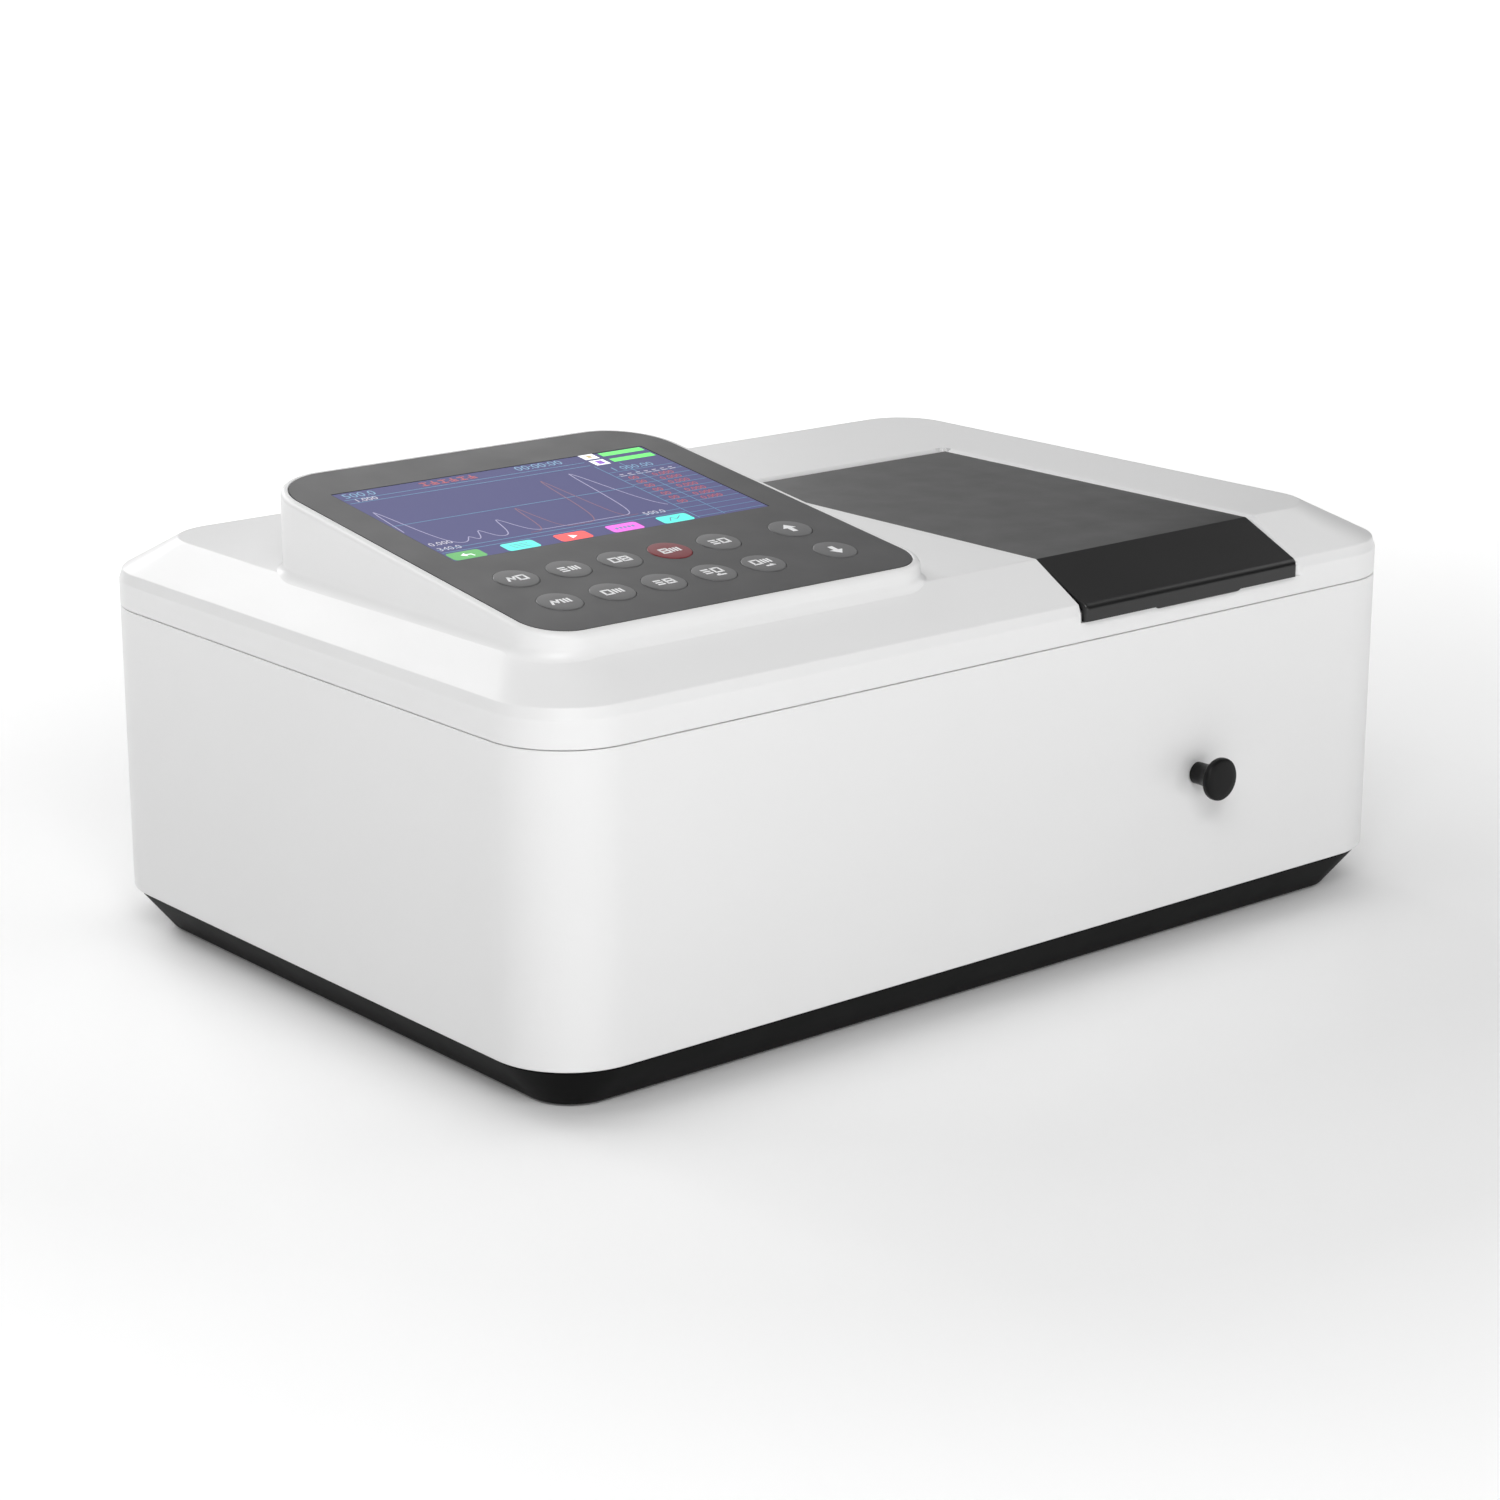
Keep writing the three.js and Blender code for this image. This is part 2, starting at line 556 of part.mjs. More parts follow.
function addFilterWheel() {
  const at = [WHEEL.y, WHEEL.z];
  const thick = span(WHEEL.x, 2.5);
  const step = (2 * Math.PI) / WHEEL.holes;
  const angles = Array.from({ length: WHEEL.holes }, (_, i) => Math.PI / 2 + i * step);
  const place = (angle) => [
    WHEEL.y + WHEEL.pitch * Math.cos(angle),
    WHEEL.z + WHEEL.pitch * Math.sin(angle),
  ];
  const disc = join(
    rod("x", WHEEL.radius, thick, at, 36),
    rod("x", 5, [WHEEL.x, WHEEL.x + 4], at),
    rod("x", WHEEL.shaft, [WHEEL.x, WHEEL.x + 10], at, 16),
  );
  const holes = angles.map((angle) => rod("x", WHEEL.hole, grow(thick, 1), place(angle), 20));
  piece("filter_wheel", cut(disc, ...holes), ANODISED, instrument);
  const filter = rod("x", WHEEL.hole - GAP, span(WHEEL.x, 2), place(angles[1]), 20);
  piece("order_filter", filter, FILTER_AMBER, instrument);

  const { x, radius, bracket } = WHEEL_MOTOR;
  const body = join(
    rod("x", radius, x, at),
    block([x[0], x[0] + bracket], span(WHEEL.y, 14), [BENCH.z[1] + GAP, WHEEL.z]),
  );
  const shaftHole = rod("x", WHEEL.shaft + 0.5, [x[0] - 1.5, x[0] + 5], at, 16);
  piece("filter_motor", cut(body, shaftHole), STEEL, instrument);
}

function addMonochromator() {
  const { x, y, z, wall } = MONO;
  const housing = cut(
    block(x, y, z),
    block(grow(x, -wall), grow(y, -wall), [z[0] + wall, z[1] + 5]),
    rod("x", 5, [x[0] - 5, x[0] + 6], [BEAM.lampY, BEAM.z]),
    rod("x", 5, [x[1] - 6, x[1] + 5], [BEAM.cellY, BEAM.z]),
  );
  piece("monochromator_housing", housing, ANODISED, instrument);
  piece("monochromator_cover", block(x, y, [z[1] + GAP, z[1] + 4]), ANODISED, instrument);

  const slit = (name, low, beamY) => {
    const plate = block([low, low + 1], span(beamY, 16), span(BEAM.z, 20));
    const opening = block([low - 1, low + 2], span(beamY, 1.2), span(BEAM.z, 8));
    piece(name, cut(plate, opening), STEEL, instrument);
  };
  slit("entrance_slit", x[0] + wall + GAP, BEAM.lampY);
  slit("exit_slit", x[1] - wall - GAP - 1, BEAM.cellY);

  const floor = z[0] + wall + GAP;
  const mount = new THREE.Group();
  mount.position.set(FOLD_MIRROR.x, BEAM.lampY, 0);
  mount.rotation.z = THREE.MathUtils.degToRad(FOLD_MIRROR.heading);
  instrument.add(mount);
  const mirror = join(
    block([0, 5], span(0, FOLD_MIRROR.size), span(BEAM.z, FOLD_MIRROR.size)),
    block([2, 8], [-8, 8], [floor, BEAM.z]),
    block([-8, 10], [-13, 13], [floor, floor + 4]),
  );
  piece("fold_mirror", mirror, MIRROR, mount);

  const motorTop = 64;
  const motor = cut(
    block(span(GRATING.x, 28), span(GRATING.y, 28), [floor, motorTop]),
    rod("z", 2.9, [motorTop - 8, motorTop + 2], [GRATING.x, GRATING.y], 16),
  );
  piece("grating_motor", motor, STEEL, instrument);

  const table = new THREE.Group();
  table.position.set(GRATING.x, GRATING.y, 0);
  table.rotation.z = THREE.MathUtils.degToRad(GRATING.heading);
  instrument.add(table);
  const turntable = join(
    rod("z", GRATING.turntable, [68, 73], [0, 0], 36),
    rod("z", 2.5, [motorTop - 6, 69], [0, 0], 16),
    block([-9, -5.5], [-15, 15], [72, 112]),
    block([-9, 3], [-15, 15], [72, 79]),
  );
  piece("grating_turntable", turntable, ALUMINIUM, table);
  const curved = rod("z", 150, [70, 120], [150.6, 0], 240);
  const grating = cut(block([-5.2, 2.8], [-15, 15], [79.3, 111]), curved);
  piece("diffraction_grating", grating, MIRROR, table);
}

function addDetector() {
  const { x, y, z, wall } = DETECTOR;
  const housing = cut(
    block(x, y, z),
    block([x[0] + wall, x[1] + 5], grow(y, -wall), grow(z, -wall)),
    rod("x", 6, [x[0] - 5, x[0] + 10], [BEAM.cellY, BEAM.z]),
  );
  piece("detector_housing", housing, ANODISED, instrument);
  const board = join(
    block([x[0] + 30, x[0] + 31.6], span(middle(y), 54), span(middle(z), 54)),
    rod("x", 6.5, [x[0] + 24, x[0] + 31], [BEAM.cellY, BEAM.z]),
  );
  piece("photodetector", board, BOARD_GREEN, instrument);
}

// ---------------------------------------------------------------- electronics and rear panel

function addElectronics() {
  const board = [[-150, 20], [-95, 45], [128, 129.6]];
  const chips = [
    [-120, -60, 24, 24, 2.5],
    [-70, -60, 16, 16, 2],
    [-20, -60, 30, 12, 6],
    [-120, 10, 14, 40, 9],
    [-60, 5, 20, 20, 2],
    [-10, 10, 12, 50, 9],
  ].map(([x, y, w, d, h]) => block(span(x, w), span(y, d), [129, 129.6 + h]));
  piece("main_board", join(block(...board), ...chips), BOARD_GREEN, instrument);

  const low = BENCH.z[1] + GAP;
  const supply = join(
    block([70, 180], [70, 132], [low, low + 6]),
    block([76, 112], [78, 124], [low + 5, low + 38]),
    block([120, 150], [78, 96], [low + 5, low + 24]),
    block([160, 176], [76, 126], [low + 5, low + 32]),
    rod("z", 9, [low + 5, low + 34], [134, 112]),
  );
  piece("power_supply", supply, ALUMINIUM, instrument);
}

function addFan() {
  const { x, z, side, y, bore, hub, blades } = FAN;
  const struts = [0, 1, 2, 3].map((turn) =>
    block([-2, 2], [y[0], y[0] + 2.5], [0, side / 2 - 0.5])
      .rotateY(Math.PI / 4 + (turn * Math.PI) / 2)
      .translate(x, 0, z),
  );
  const frame = join(
    cut(block(span(x, side), y, span(z, side)), rod("y", bore, grow(y, 1), [x, z], 40)),
    rod("y", hub, [y[0], y[0] + 2.5], [x, z]),
    ...struts,
  );
  piece("fan_frame", frame, SOCKET_BLACK, instrument);

  const rotorY = [y[0] + 3.2, y[1] - 1];
  const blade = (turn) =>
    block([-1, 1], span(0, 11), [hub - 1, bore - 1.5])
      .rotateZ(THREE.MathUtils.degToRad(40))
      .rotateY((turn * 2 * Math.PI) / blades)
      .translate(x, middle(rotorY), z);
  const wings = Array.from({ length: blades }, (_, turn) => blade(turn));
  const swept = rod("y", bore - 1, rotorY, [x, z], 40);
  const rotor = common(join(rod("y", hub, rotorY, [x, z]), ...wings), swept);
  piece("fan_rotor", rotor, SOCKET_BLACK, instrument);
}

function addInlet() {
  const { x, z, face } = INLET;
  const flangeBack = CASE.back + GAP;
  const shell = join(
    rearBlock(INLET, INLET.flange, [flangeBack, face]),
    rearBlock(INLET, INLET.body, [CASE.back - 25, flangeBack + 1]),
  );
  const mouth = rearBlock(INLET, INLET.mouth, [face - 17, face + 5]);
  const pin = (dx, dz) => block(span(x + dx, 4), [face - 18, face - 4], span(z + dz, 2));
  const inlet = join(cut(shell, mouth), pin(-7, -2), pin(7, -2), pin(0, 2));
  piece("power_inlet", inlet, SOCKET_BLACK, instrument);
}

function addSwitch() {
  const { x, z, pivotY, tilt } = SWITCH;
  const flange = [CASE.back + GAP, CASE.back + 1.8];
  const inside = CASE.back - 15;
  const frame = cut(
    join(
      rearBlock(SWITCH, SWITCH_FRAME.flange, flange),
      rearBlock(SWITCH, SWITCH_FRAME.body, [inside, flange[1]]),
    ),
    rearBlock(SWITCH, SWITCH_FRAME.well, [inside + 3, flange[1] + 5]),
  );
  piece("switch_frame", frame, SOCKET_BLACK, instrument);

  const profile = [
    [-5, -2.5],
    [-1, -7.6],
    [2, -7.6],
    [0.9, 0],
    [2, 7.6],
    [-1, 7.6],
    [-5, 2.5],
  ];
  const rocker = piece("power_rocker", prismX(profile, [-5, 5]), KNOB_BLACK, instrument);
  rocker.position.set(x, pivotY, z);
  rocker.rotation.x = tilt;
}

function addUsbPort() {
  const { x, z, shell, wall, depth } = USB;
  const y = [CASE.back - 17, CASE.back + 1];
  const tube = cut(
    rearBlock(USB, shell, y),
    rearBlock(USB, larger(shell, -wall), [y[1] - depth, y[1] + 5]),
  );
  const tongue = block(span(x, 10.6), [y[1] - depth - 1, y[1] - 1.5], span(z + 0.9, 1.6));
  piece("usb_port", join(tube, tongue), STEEL, instrument);
}

addBase();
addLowerCase();
addTopCover();
addLid();
addConsole();
addSampleCompartment();
addCellChanger();
addLightSource();
addFilterWheel();
addMonochromator();
addDetector();
addElectronics();
addFan();
addInlet();
addSwitch();
addUsbPort();

const model = new THREE.Group();
model.add(instrument);
export default model;
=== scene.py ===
"""The looks of a benchtop spectrophotometer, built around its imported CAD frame.

Metres, +X to the right along the front, -Y towards the user, +Z up. Sizes and places come from the
frame's nodes; what the frame doesn't hold, such as edge radii and the display's picture, is named
in millimetres below and turned into metres by mm().
"""

import json
import math

import bmesh
import bpy
from mathutils import Matrix, Vector


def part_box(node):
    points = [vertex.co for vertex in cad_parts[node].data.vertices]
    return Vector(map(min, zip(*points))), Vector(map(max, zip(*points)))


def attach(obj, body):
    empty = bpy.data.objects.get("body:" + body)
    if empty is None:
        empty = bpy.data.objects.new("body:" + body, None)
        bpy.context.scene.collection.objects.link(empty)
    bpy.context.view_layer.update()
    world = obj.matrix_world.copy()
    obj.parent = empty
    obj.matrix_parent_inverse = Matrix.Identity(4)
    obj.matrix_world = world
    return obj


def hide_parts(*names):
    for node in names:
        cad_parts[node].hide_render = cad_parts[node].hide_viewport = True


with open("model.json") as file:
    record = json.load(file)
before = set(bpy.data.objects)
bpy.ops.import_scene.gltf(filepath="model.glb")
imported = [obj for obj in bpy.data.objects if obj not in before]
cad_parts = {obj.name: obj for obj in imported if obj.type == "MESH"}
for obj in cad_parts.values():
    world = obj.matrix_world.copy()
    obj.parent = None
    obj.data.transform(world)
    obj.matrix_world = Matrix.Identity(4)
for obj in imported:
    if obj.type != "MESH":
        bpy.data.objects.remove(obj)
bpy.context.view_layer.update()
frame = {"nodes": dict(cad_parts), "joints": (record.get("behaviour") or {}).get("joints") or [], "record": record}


def mm(value):
    return value * 0.001


# -------- driving sizes

EDGE = mm(0.6)  # soft edges of the mouldings
WALL = mm(3)
CASE_RADIUS = mm(34)
PLATEAU_RADIUS = mm(24)
PLATEAU_INSET = {"left": mm(17.5), "right": mm(26), "front": mm(26), "back": mm(26)}
BAND_TOP = mm(152.1)
BEVEL_TOP = mm(156.3)
BEVEL_INSET = mm(1.5)
POD_RADII = [mm(20), mm(30), mm(30), mm(20)]
POD_FILLET = mm(2.4)
LID_SLOPE = 0.471  # fall for each step forward, in front of the lid's crease
LID_THICKNESS = mm(3.0)
LIP_THICKNESS = mm(2.4)
LID_CORNER = mm(1.5)
HINGE_RADIUS = mm(1.8)
SEAT_DEPTH = mm(4.7)  # from the lid's upper side to the floor of the pocket it lies in
SEAT_PLATE = mm(3.2)
POCKET_GAP = mm(0.6)
CHAMBER_WALL = mm(2.5)
FITTING_GAP = mm(0.3)
VENT = {"slots": 9, "pitch": mm(6), "width": mm(52), "height": mm(3)}
TAB = {"left": mm(73.4), "right": mm(122.8)}
CORNER_STEPS = 20
PAST = mm(10)  # how far a cutter reaches past the piece it cuts
ABOVE = mm(190)  # a height above the cover
ABOVE_BAND = mm(160)  # a height above the cover's front band

# The lens in millimetres, the place in metres and the turn in degrees.
CAMERA = {"lens": 83.47, "place": (-0.9216, -1.0909, 0.4813), "turn": (73.90, 0, -39.88)}

ROOT = "housing"
UP = (0, 0, 1)


# -------- materials

def new_material(name, color, roughness, metallic=0.0, **sockets):
    made = bpy.data.materials.new(name)
    made.use_nodes = True
    shader = made.node_tree.nodes["Principled BSDF"]
    shader.inputs["Base Color"].default_value = (*color, 1)
    shader.inputs["Roughness"].default_value = roughness
    shader.inputs["Metallic"].default_value = metallic
    for socket, value in sockets.items():
        shader.inputs[socket.replace("_", " ")].default_value = value
    return made, made.node_tree, shader


def add_node(tree, kind, **settings):
    """A new node with its sockets and properties set; an underscore stands for a socket's space."""
    node = tree.nodes.new(kind)
    for key, value in settings.items():
        socket = key.replace("_", " ")
        if socket in node.inputs:
            node.inputs[socket].default_value = value
        else:
            setattr(node, key, value)
    return node


def noise(tree, scale, detail=3.0, stretch=(1, 1, 1)):
    coordinates = add_node(tree, "ShaderNodeTexCoord")
    mapping = add_node(tree, "ShaderNodeMapping", Scale=stretch)
    texture = add_node(tree, "ShaderNodeTexNoise", Scale=scale, Detail=detail)
    tree.links.new(coordinates.outputs["Object"], mapping.inputs["Vector"])
    tree.links.new(mapping.outputs["Vector"], texture.inputs["Vector"])
    return texture


def vary(tree, texture, low, high, target):
    ramp = add_node(tree, "ShaderNodeMapRange", To_Min=low, To_Max=high)
    tree.links.new(texture.outputs["Fac"], ramp.inputs["Value"])
    tree.links.new(ramp.outputs["Result"], target)


def tint(tree, texture, dark, light, target):
    mix = add_node(tree, "ShaderNodeMix", data_type="RGBA")
    first_color, second_color = mix.inputs[6], mix.inputs[7]
    first_color.default_value = (*dark, 1)
    second_color.default_value = (*light, 1)
    tree.links.new(texture.outputs["Fac"], mix.inputs["Factor"])
    tree.links.new(mix.outputs[2], target)


def grain(tree, shader, scale, depth, stretch=(1, 1, 1)):
    bump = add_node(tree, "ShaderNodeBump", Strength=1.0, Distance=depth)
    tree.links.new(noise(tree, scale, 2.0, stretch).outputs["Fac"], bump.inputs["Height"])
    tree.links.new(bump.outputs["Normal"], shader.inputs["Normal"])


def scaled(color, factor):
    return tuple(channel * factor for channel in color)


def plastic(name, color, roughness, grain_scale=1800, grain_depth=0.00002, spread=0.06, **sockets):
    """Moulded plastic: a fine spark-eroded grain, slightly uneven gloss and tone."""
    made, tree, shader = new_material(name, color, roughness, **sockets)
    tint(tree, noise(tree, 9), scaled(color, 1 - spread), scaled(color, 1 + spread / 2),
         shader.inputs["Base Color"])
    vary(tree, noise(tree, 60), roughness - 0.05, roughness + 0.06, shader.inputs["Roughness"])
    grain(tree, shader, grain_scale, grain_depth)
    return made


def metal(name, color, roughness, stretch=(1, 1, 1), grain_scale=900, depth=0.00002):
    """Brushed or cast metal: the grain is drawn out along the axes with the small stretch."""
    made, tree, shader = new_material(name, color, roughness, 1.0)
    tint(tree, noise(tree, 40), scaled(color, 0.86), scaled(color, 1.05), shader.inputs["Base Color"])
    vary(tree, noise(tree, grain_scale, 2, stretch), roughness - 0.08, roughness + 0.12,
         shader.inputs["Roughness"])
    grain(tree, shader, grain_scale, depth, stretch)
    return made


def glowing(name, color, strength):
    """One colour of the display's picture, lit from behind."""
    made, tree, shader = new_material(name, scaled(color, 0.6), 0.3)
    shader.inputs["Emission Color"].default_value = (*color, 1)
    shader.inputs["Emission Strength"].default_value = strength
    tint(tree, noise(tree, 350), scaled(color, 0.5), scaled(color, 0.7), shader.inputs["Base Color"])
    return made


SHELL = plastic("shell_white_plastic", (0.79, 0.79, 0.79), 0.36, spread=0.015)
PLINTH = plastic("plinth_black_plastic", (0.003, 0.003, 0.0031), 0.5, IOR=1.15)
LID = plastic("lid_smoked_gloss", (0.006, 0.006, 0.0062), 0.32, 1400, 0.000004)
KNOB = plastic("knob_black_plastic", (0.004, 0.004, 0.0042), 0.32, IOR=1.27)
OVERLAY = plastic("overlay_film", (0.039, 0.039, 0.040), 0.36, 2600, 0.00001)
KEY = plastic("key_film", (0.12, 0.12, 0.122), 0.38, 2600, 0.00001)
KEY_RED = plastic("key_red_film", (0.20, 0.022, 0.030), 0.38, 2600, 0.00001)
RUBBER = plastic("black_rubber", (0.012, 0.012, 0.012), 0.75, 1200, 0.00004)
SOCKET = plastic("socket_black_plastic", (0.014, 0.014, 0.015), 0.4)
BOARD = plastic("circuit_board", (0.015, 0.12, 0.04), 0.35, 700, 0.00002, 0.3)
CERAMIC = plastic("lamp_ceramic", (0.75, 0.71, 0.60), 0.6, 900, 0.00004)
NYLON = plastic("bush_nylon", (0.70, 0.68, 0.62), 0.45)
STEEL = metal("brushed_steel", (0.62, 0.63, 0.65), 0.28, (1, 0.06, 1))
ALUMINIUM = metal("machined_aluminium", (0.66, 0.67, 0.69), 0.36, (0.08, 1, 1))
ANODISED = metal("black_anodised", (0.075, 0.075, 0.08), 0.42, grain_scale=2000)
MIRROR = metal("mirror_coating", (0.93, 0.94, 0.95), 0.12, depth=0.000002)
PRINT = plastic("white_print", (0.90, 0.90, 0.91), 0.4)
GLASS = new_material("lamp_quartz", (0.9, 0.95, 1.0), 0.05, Transmission_Weight=1.0, IOR=1.46)[0]
AMBER = new_material("amber_filter", (0.8, 0.35, 0.04), 0.05, Transmission_Weight=0.8, IOR=1.5)[0]


# -------- mesh making

def outline(left, right, front, back, radii, steps=CORNER_STEPS):
    """Rounded rectangle, anticlockwise from the front right corner, as (x, y) pairs."""
    radii = radii if isinstance(radii, list) else [radii] * 4
    corners = [(right, -1, front, 1), (right, -1, back, -1), (left, 1, back, -1), (left, 1, front, 1)]
    points = []
    for number, ((x, into_x, y, into_y), r) in enumerate(zip(corners, radii)):
        for step in range(steps + 1):
            angle = math.pi / 2 * (number - 1 + step / steps)
            points.append((x + into_x * r + r * math.cos(angle),
                           y + into_y * r + r * math.sin(angle)))
    return points


def rounded_path(points, radii, steps=5):
    """A path of 2D points whose inner corners are replaced by arcs of the given radii."""
    path = [Vector(points[0])]
    for before, here, after, radius in zip(points, points[1:], points[2:], radii):
        here = Vector(here)
        to_before = (Vector(before) - here).normalized()
        to_after = (Vector(after) - here).normalized()
        half = to_before.angle(to_after) / 2
        if radius <= 0 or half > math.radians(89.5):
            path.append(here)
            continue
        reach = radius / math.tan(half)
        centre = here + (to_before + to_after).normalized() * (radius / math.sin(half))
        start, end = here + to_before * reach - centre, here + to_after * reach - centre
        turn = start.angle_signed(end)
        for step in range(steps + 1):
            spoke = start.copy()
            spoke.rotate(Matrix.Rotation(-turn * step / steps, 2))
            path.append(centre + spoke)
    path.append(Vector(points[-1]))
    return path


def make_object(name, verts, faces, material):
    """A piece with merged corners, outward faces and smooth shading."""
    mesh = bpy.data.meshes.new(name)
    mesh.from_pydata([tuple(v) for v in verts], [], faces)
    cleaner = bmesh.new()
    cleaner.from_mesh(mesh)
    bmesh.ops.remove_doubles(cleaner, verts=cleaner.verts, dist=1e-7)
    bmesh.ops.recalc_face_normals(cleaner, faces=cleaner.faces)
    cleaner.to_mesh(mesh)
    cleaner.free()
    made = bpy.data.objects.new(name, mesh)
    bpy.context.scene.collection.objects.link(made)
    if material:
        mesh.materials.append(material)
    shade(made)
    return made


def shade(made, angle=35):
    """Smooth shading, broken where faces meet at more than the angle in degrees."""
    made.data.polygons.foreach_set("use_smooth", [True] * len(made.data.polygons))
    made.data.set_sharp_from_angle(angle=math.radians(angle))


def loft(name, rings, material, closed=False):
    """Rings of equal count joined in order; the ends are capped, or joined when closed."""
    count = len(rings[0])
    verts = [point for ring in rings for point in ring]
    faces = []
    last = len(rings) if closed else len(rings) - 1
    for layer in range(last):
        low, high = layer * count, ((layer + 1) % len(rings)) * count
        for i in range(count):
            j = (i + 1) % count
            faces.append((low + i, low + j, high + j, high + i))
    if not closed:
        faces.append(tuple(range(count))[::-1])
        faces.append(tuple((len(rings) - 1) * count + i for i in range(count)))
    return make_object(name, verts, faces, material)


def block(low, high, name="block", material=None):
    (left, front, floor), (right, back, top) = low, high
    corners = [(x, y, z) for x in (left, right) for y in (front, back) for z in (floor, top)]
    faces = [(0, 1, 3, 2), (4, 6, 7, 5), (0, 4, 5, 1), (2, 3, 7, 6), (0, 2, 6, 4), (1, 5, 7, 3)]
    return make_object(name, corners, faces, material)


def prism_x(points, low, high):
    return loft("prism", [[(x, y, z) for y, z in points] for x in (low, high)], None)


def turned(name, profile, foot, axis, material, sides=64):
    """A profile of (radius, height) pairs turned about an axis that starts at foot."""
    tilt = Vector(UP).rotation_difference(Vector(axis)).to_matrix()
    circle = [(math.cos(turn), math.sin(turn)) for turn in
              (2 * math.pi * i / sides for i in range(sides))]
    rings = [[Vector(foot) + tilt @ Vector((radius * u, radius * v, height)) for u, v in circle]
             for radius, height in profile]
    return loft(name, rings, material)


def evaluated_mesh(made):
    bpy.context.view_layer.update()
    return bpy.data.meshes.new_from_object(made.evaluated_get(bpy.context.evaluated_depsgraph_get()))


def apply_modifiers(made):
    mesh, old = evaluated_mesh(made), made.data
    made.modifiers.clear()
    made.data = mesh
    bpy.data.meshes.remove(old)


def combine(made, *tools, operation="DIFFERENCE"):
    """Cuts closed tools out of a piece, or joins them to it, and removes the tools."""
    for tool in tools:
        change = made.modifiers.new("change", "BOOLEAN")
        change.object = tool
        change.operation = operation
        change.solver = "EXACT"
    apply_modifiers(made)
    for tool in tools:
        bpy.data.objects.remove(tool)


def merge(made, distance, angle):
    """Joins corners closer than the distance, and faces that bend by less than the angle."""
    cleaner = bmesh.new()
    cleaner.from_mesh(made.data)
    bmesh.ops.remove_doubles(cleaner, verts=cleaner.verts, dist=distance)
    bmesh.ops.dissolve_limit(cleaner, angle_limit=math.radians(angle), verts=cleaner.verts,
                             edges=cleaner.edges, delimit={"MATERIAL"})
    cleaner.to_mesh(made.data)
    cleaner.free()


def add_bevel(made, width, angle):
    bevel = made.modifiers.new("edges", "BEVEL")
    bevel.width = width
    bevel.segments = 2
    bevel.limit_method = "ANGLE"
    bevel.angle_limit = math.radians(angle)


def weigh_normals(made, weight, keep_sharp=True):
    """Lets the large flat faces set the shading of the small ones beside them."""
    weigh = made.modifiers.new("normals", "WEIGHTED_NORMAL")
    weigh.keep_sharp = keep_sharp
    weigh.weight = weight


def soften(made, width, angle=40):
    """Rounds the sharp edges and gives flat faces their own normals."""
    merge(made, 2e-6, 0.2)
    add_bevel(made, width, angle)
    apply_modifiers(made)
    shade(made)
    weigh_normals(made, 80)


def tidy_normals(made, angle):
    """Cleans up after cuts, keeps creases over the angle, and evens the flat faces' normals."""
    merge(made, 3e-6, 0.15)
    shade(made, angle)
    weigh_normals(made, 90)


def place(made, body, slot, *nodes):
    """Says which body a piece rides on and hides the CAD nodes it stands in for; the slot is not used."""
    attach(made, body)
    if nodes:
        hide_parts(*nodes)


# -------- sizes from the frame

def middle_of(node):
    low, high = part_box(node)
    return (low + high) / 2


def box_round(points):
    axes = list(zip(*points))
    return Vector(map(min, axes)), Vector(map(max, axes))


case_low, case_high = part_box("lower_case")
cover_low, cover_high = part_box("top_cover")
plinth_low, plinth_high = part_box("base_plinth")
pod_low, pod_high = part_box("console_housing")
lid_low, lid_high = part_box("lid")
chamber_low, chamber_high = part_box("sample_compartment")
pin = middle_of("lid_hinge_pin")
press = next(joint["axis"] for joint in frame["joints"] if joint["name"] == "key_up_press")

# The finished lid lies a little below the plateau, level with the top of its hinge barrel.
LID_LEFT, LID_RIGHT = lid_low.x + mm(1.1), lid_high.x + mm(1.4)
LID_TOP = pin.z + HINGE_RADIUS
LID_FACE = lid_low.y + mm(1.2)
LID_LIP = lid_low.z + mm(0.6)
LID_CREASE = case_low.y + mm(27.5)

body_of_node = {node: body for body, nodes in frame["record"]["behaviour"]["bodies"].items()
                for node in nodes}
slot_of_node = {row["node"]: row["material_slot"] for row in frame["record"]["subparts"]}
keys = sorted(node for node in frame["nodes"] if node.startswith("key_"))
feet = sorted(node for node in frame["nodes"] if node.startswith("foot_"))


def case_outline(inset, extra=0.0):
    return outline(case_low.x + inset, case_high.x - inset, case_low.y + inset, case_high.y - inset,
                   CASE_RADIUS - inset + extra)


# -------- plinth, case and cover

def make_plinth():
    """A tray whose sides slope in towards the table, with a pocket for each foot."""
    low, high = plinth_low.z, plinth_high.z
    narrow, wide = -case_low.x - mm(214), -case_low.x - plinth_high.x
    middle, side, base = mm(60), mm(3.2), mm(4)
    path = rounded_path([(middle, low), (narrow, low), (wide, high), (wide + side, high),
                         (narrow + side, low + base), (middle, low + base)],
                        [mm(1.4), mm(0.5), mm(0.4), mm(1)], 4)
    rings = [[(x, y, z) for x, y in case_outline(inset, 0 if inset < mm(33) else mm(30))]
             for inset, z in path]
    piece = loft("plinth_tray", rings, PLINTH)
    pocket = [(mm(8.3), mm(-1)), (mm(8.3), mm(3.3))]
    combine(piece, *[turned("pocket", pocket, (*middle_of(foot).xy, 0), UP, None) for foot in feet])
    shade(piece)
    place(piece, ROOT, "plinth_black", "base_plinth")


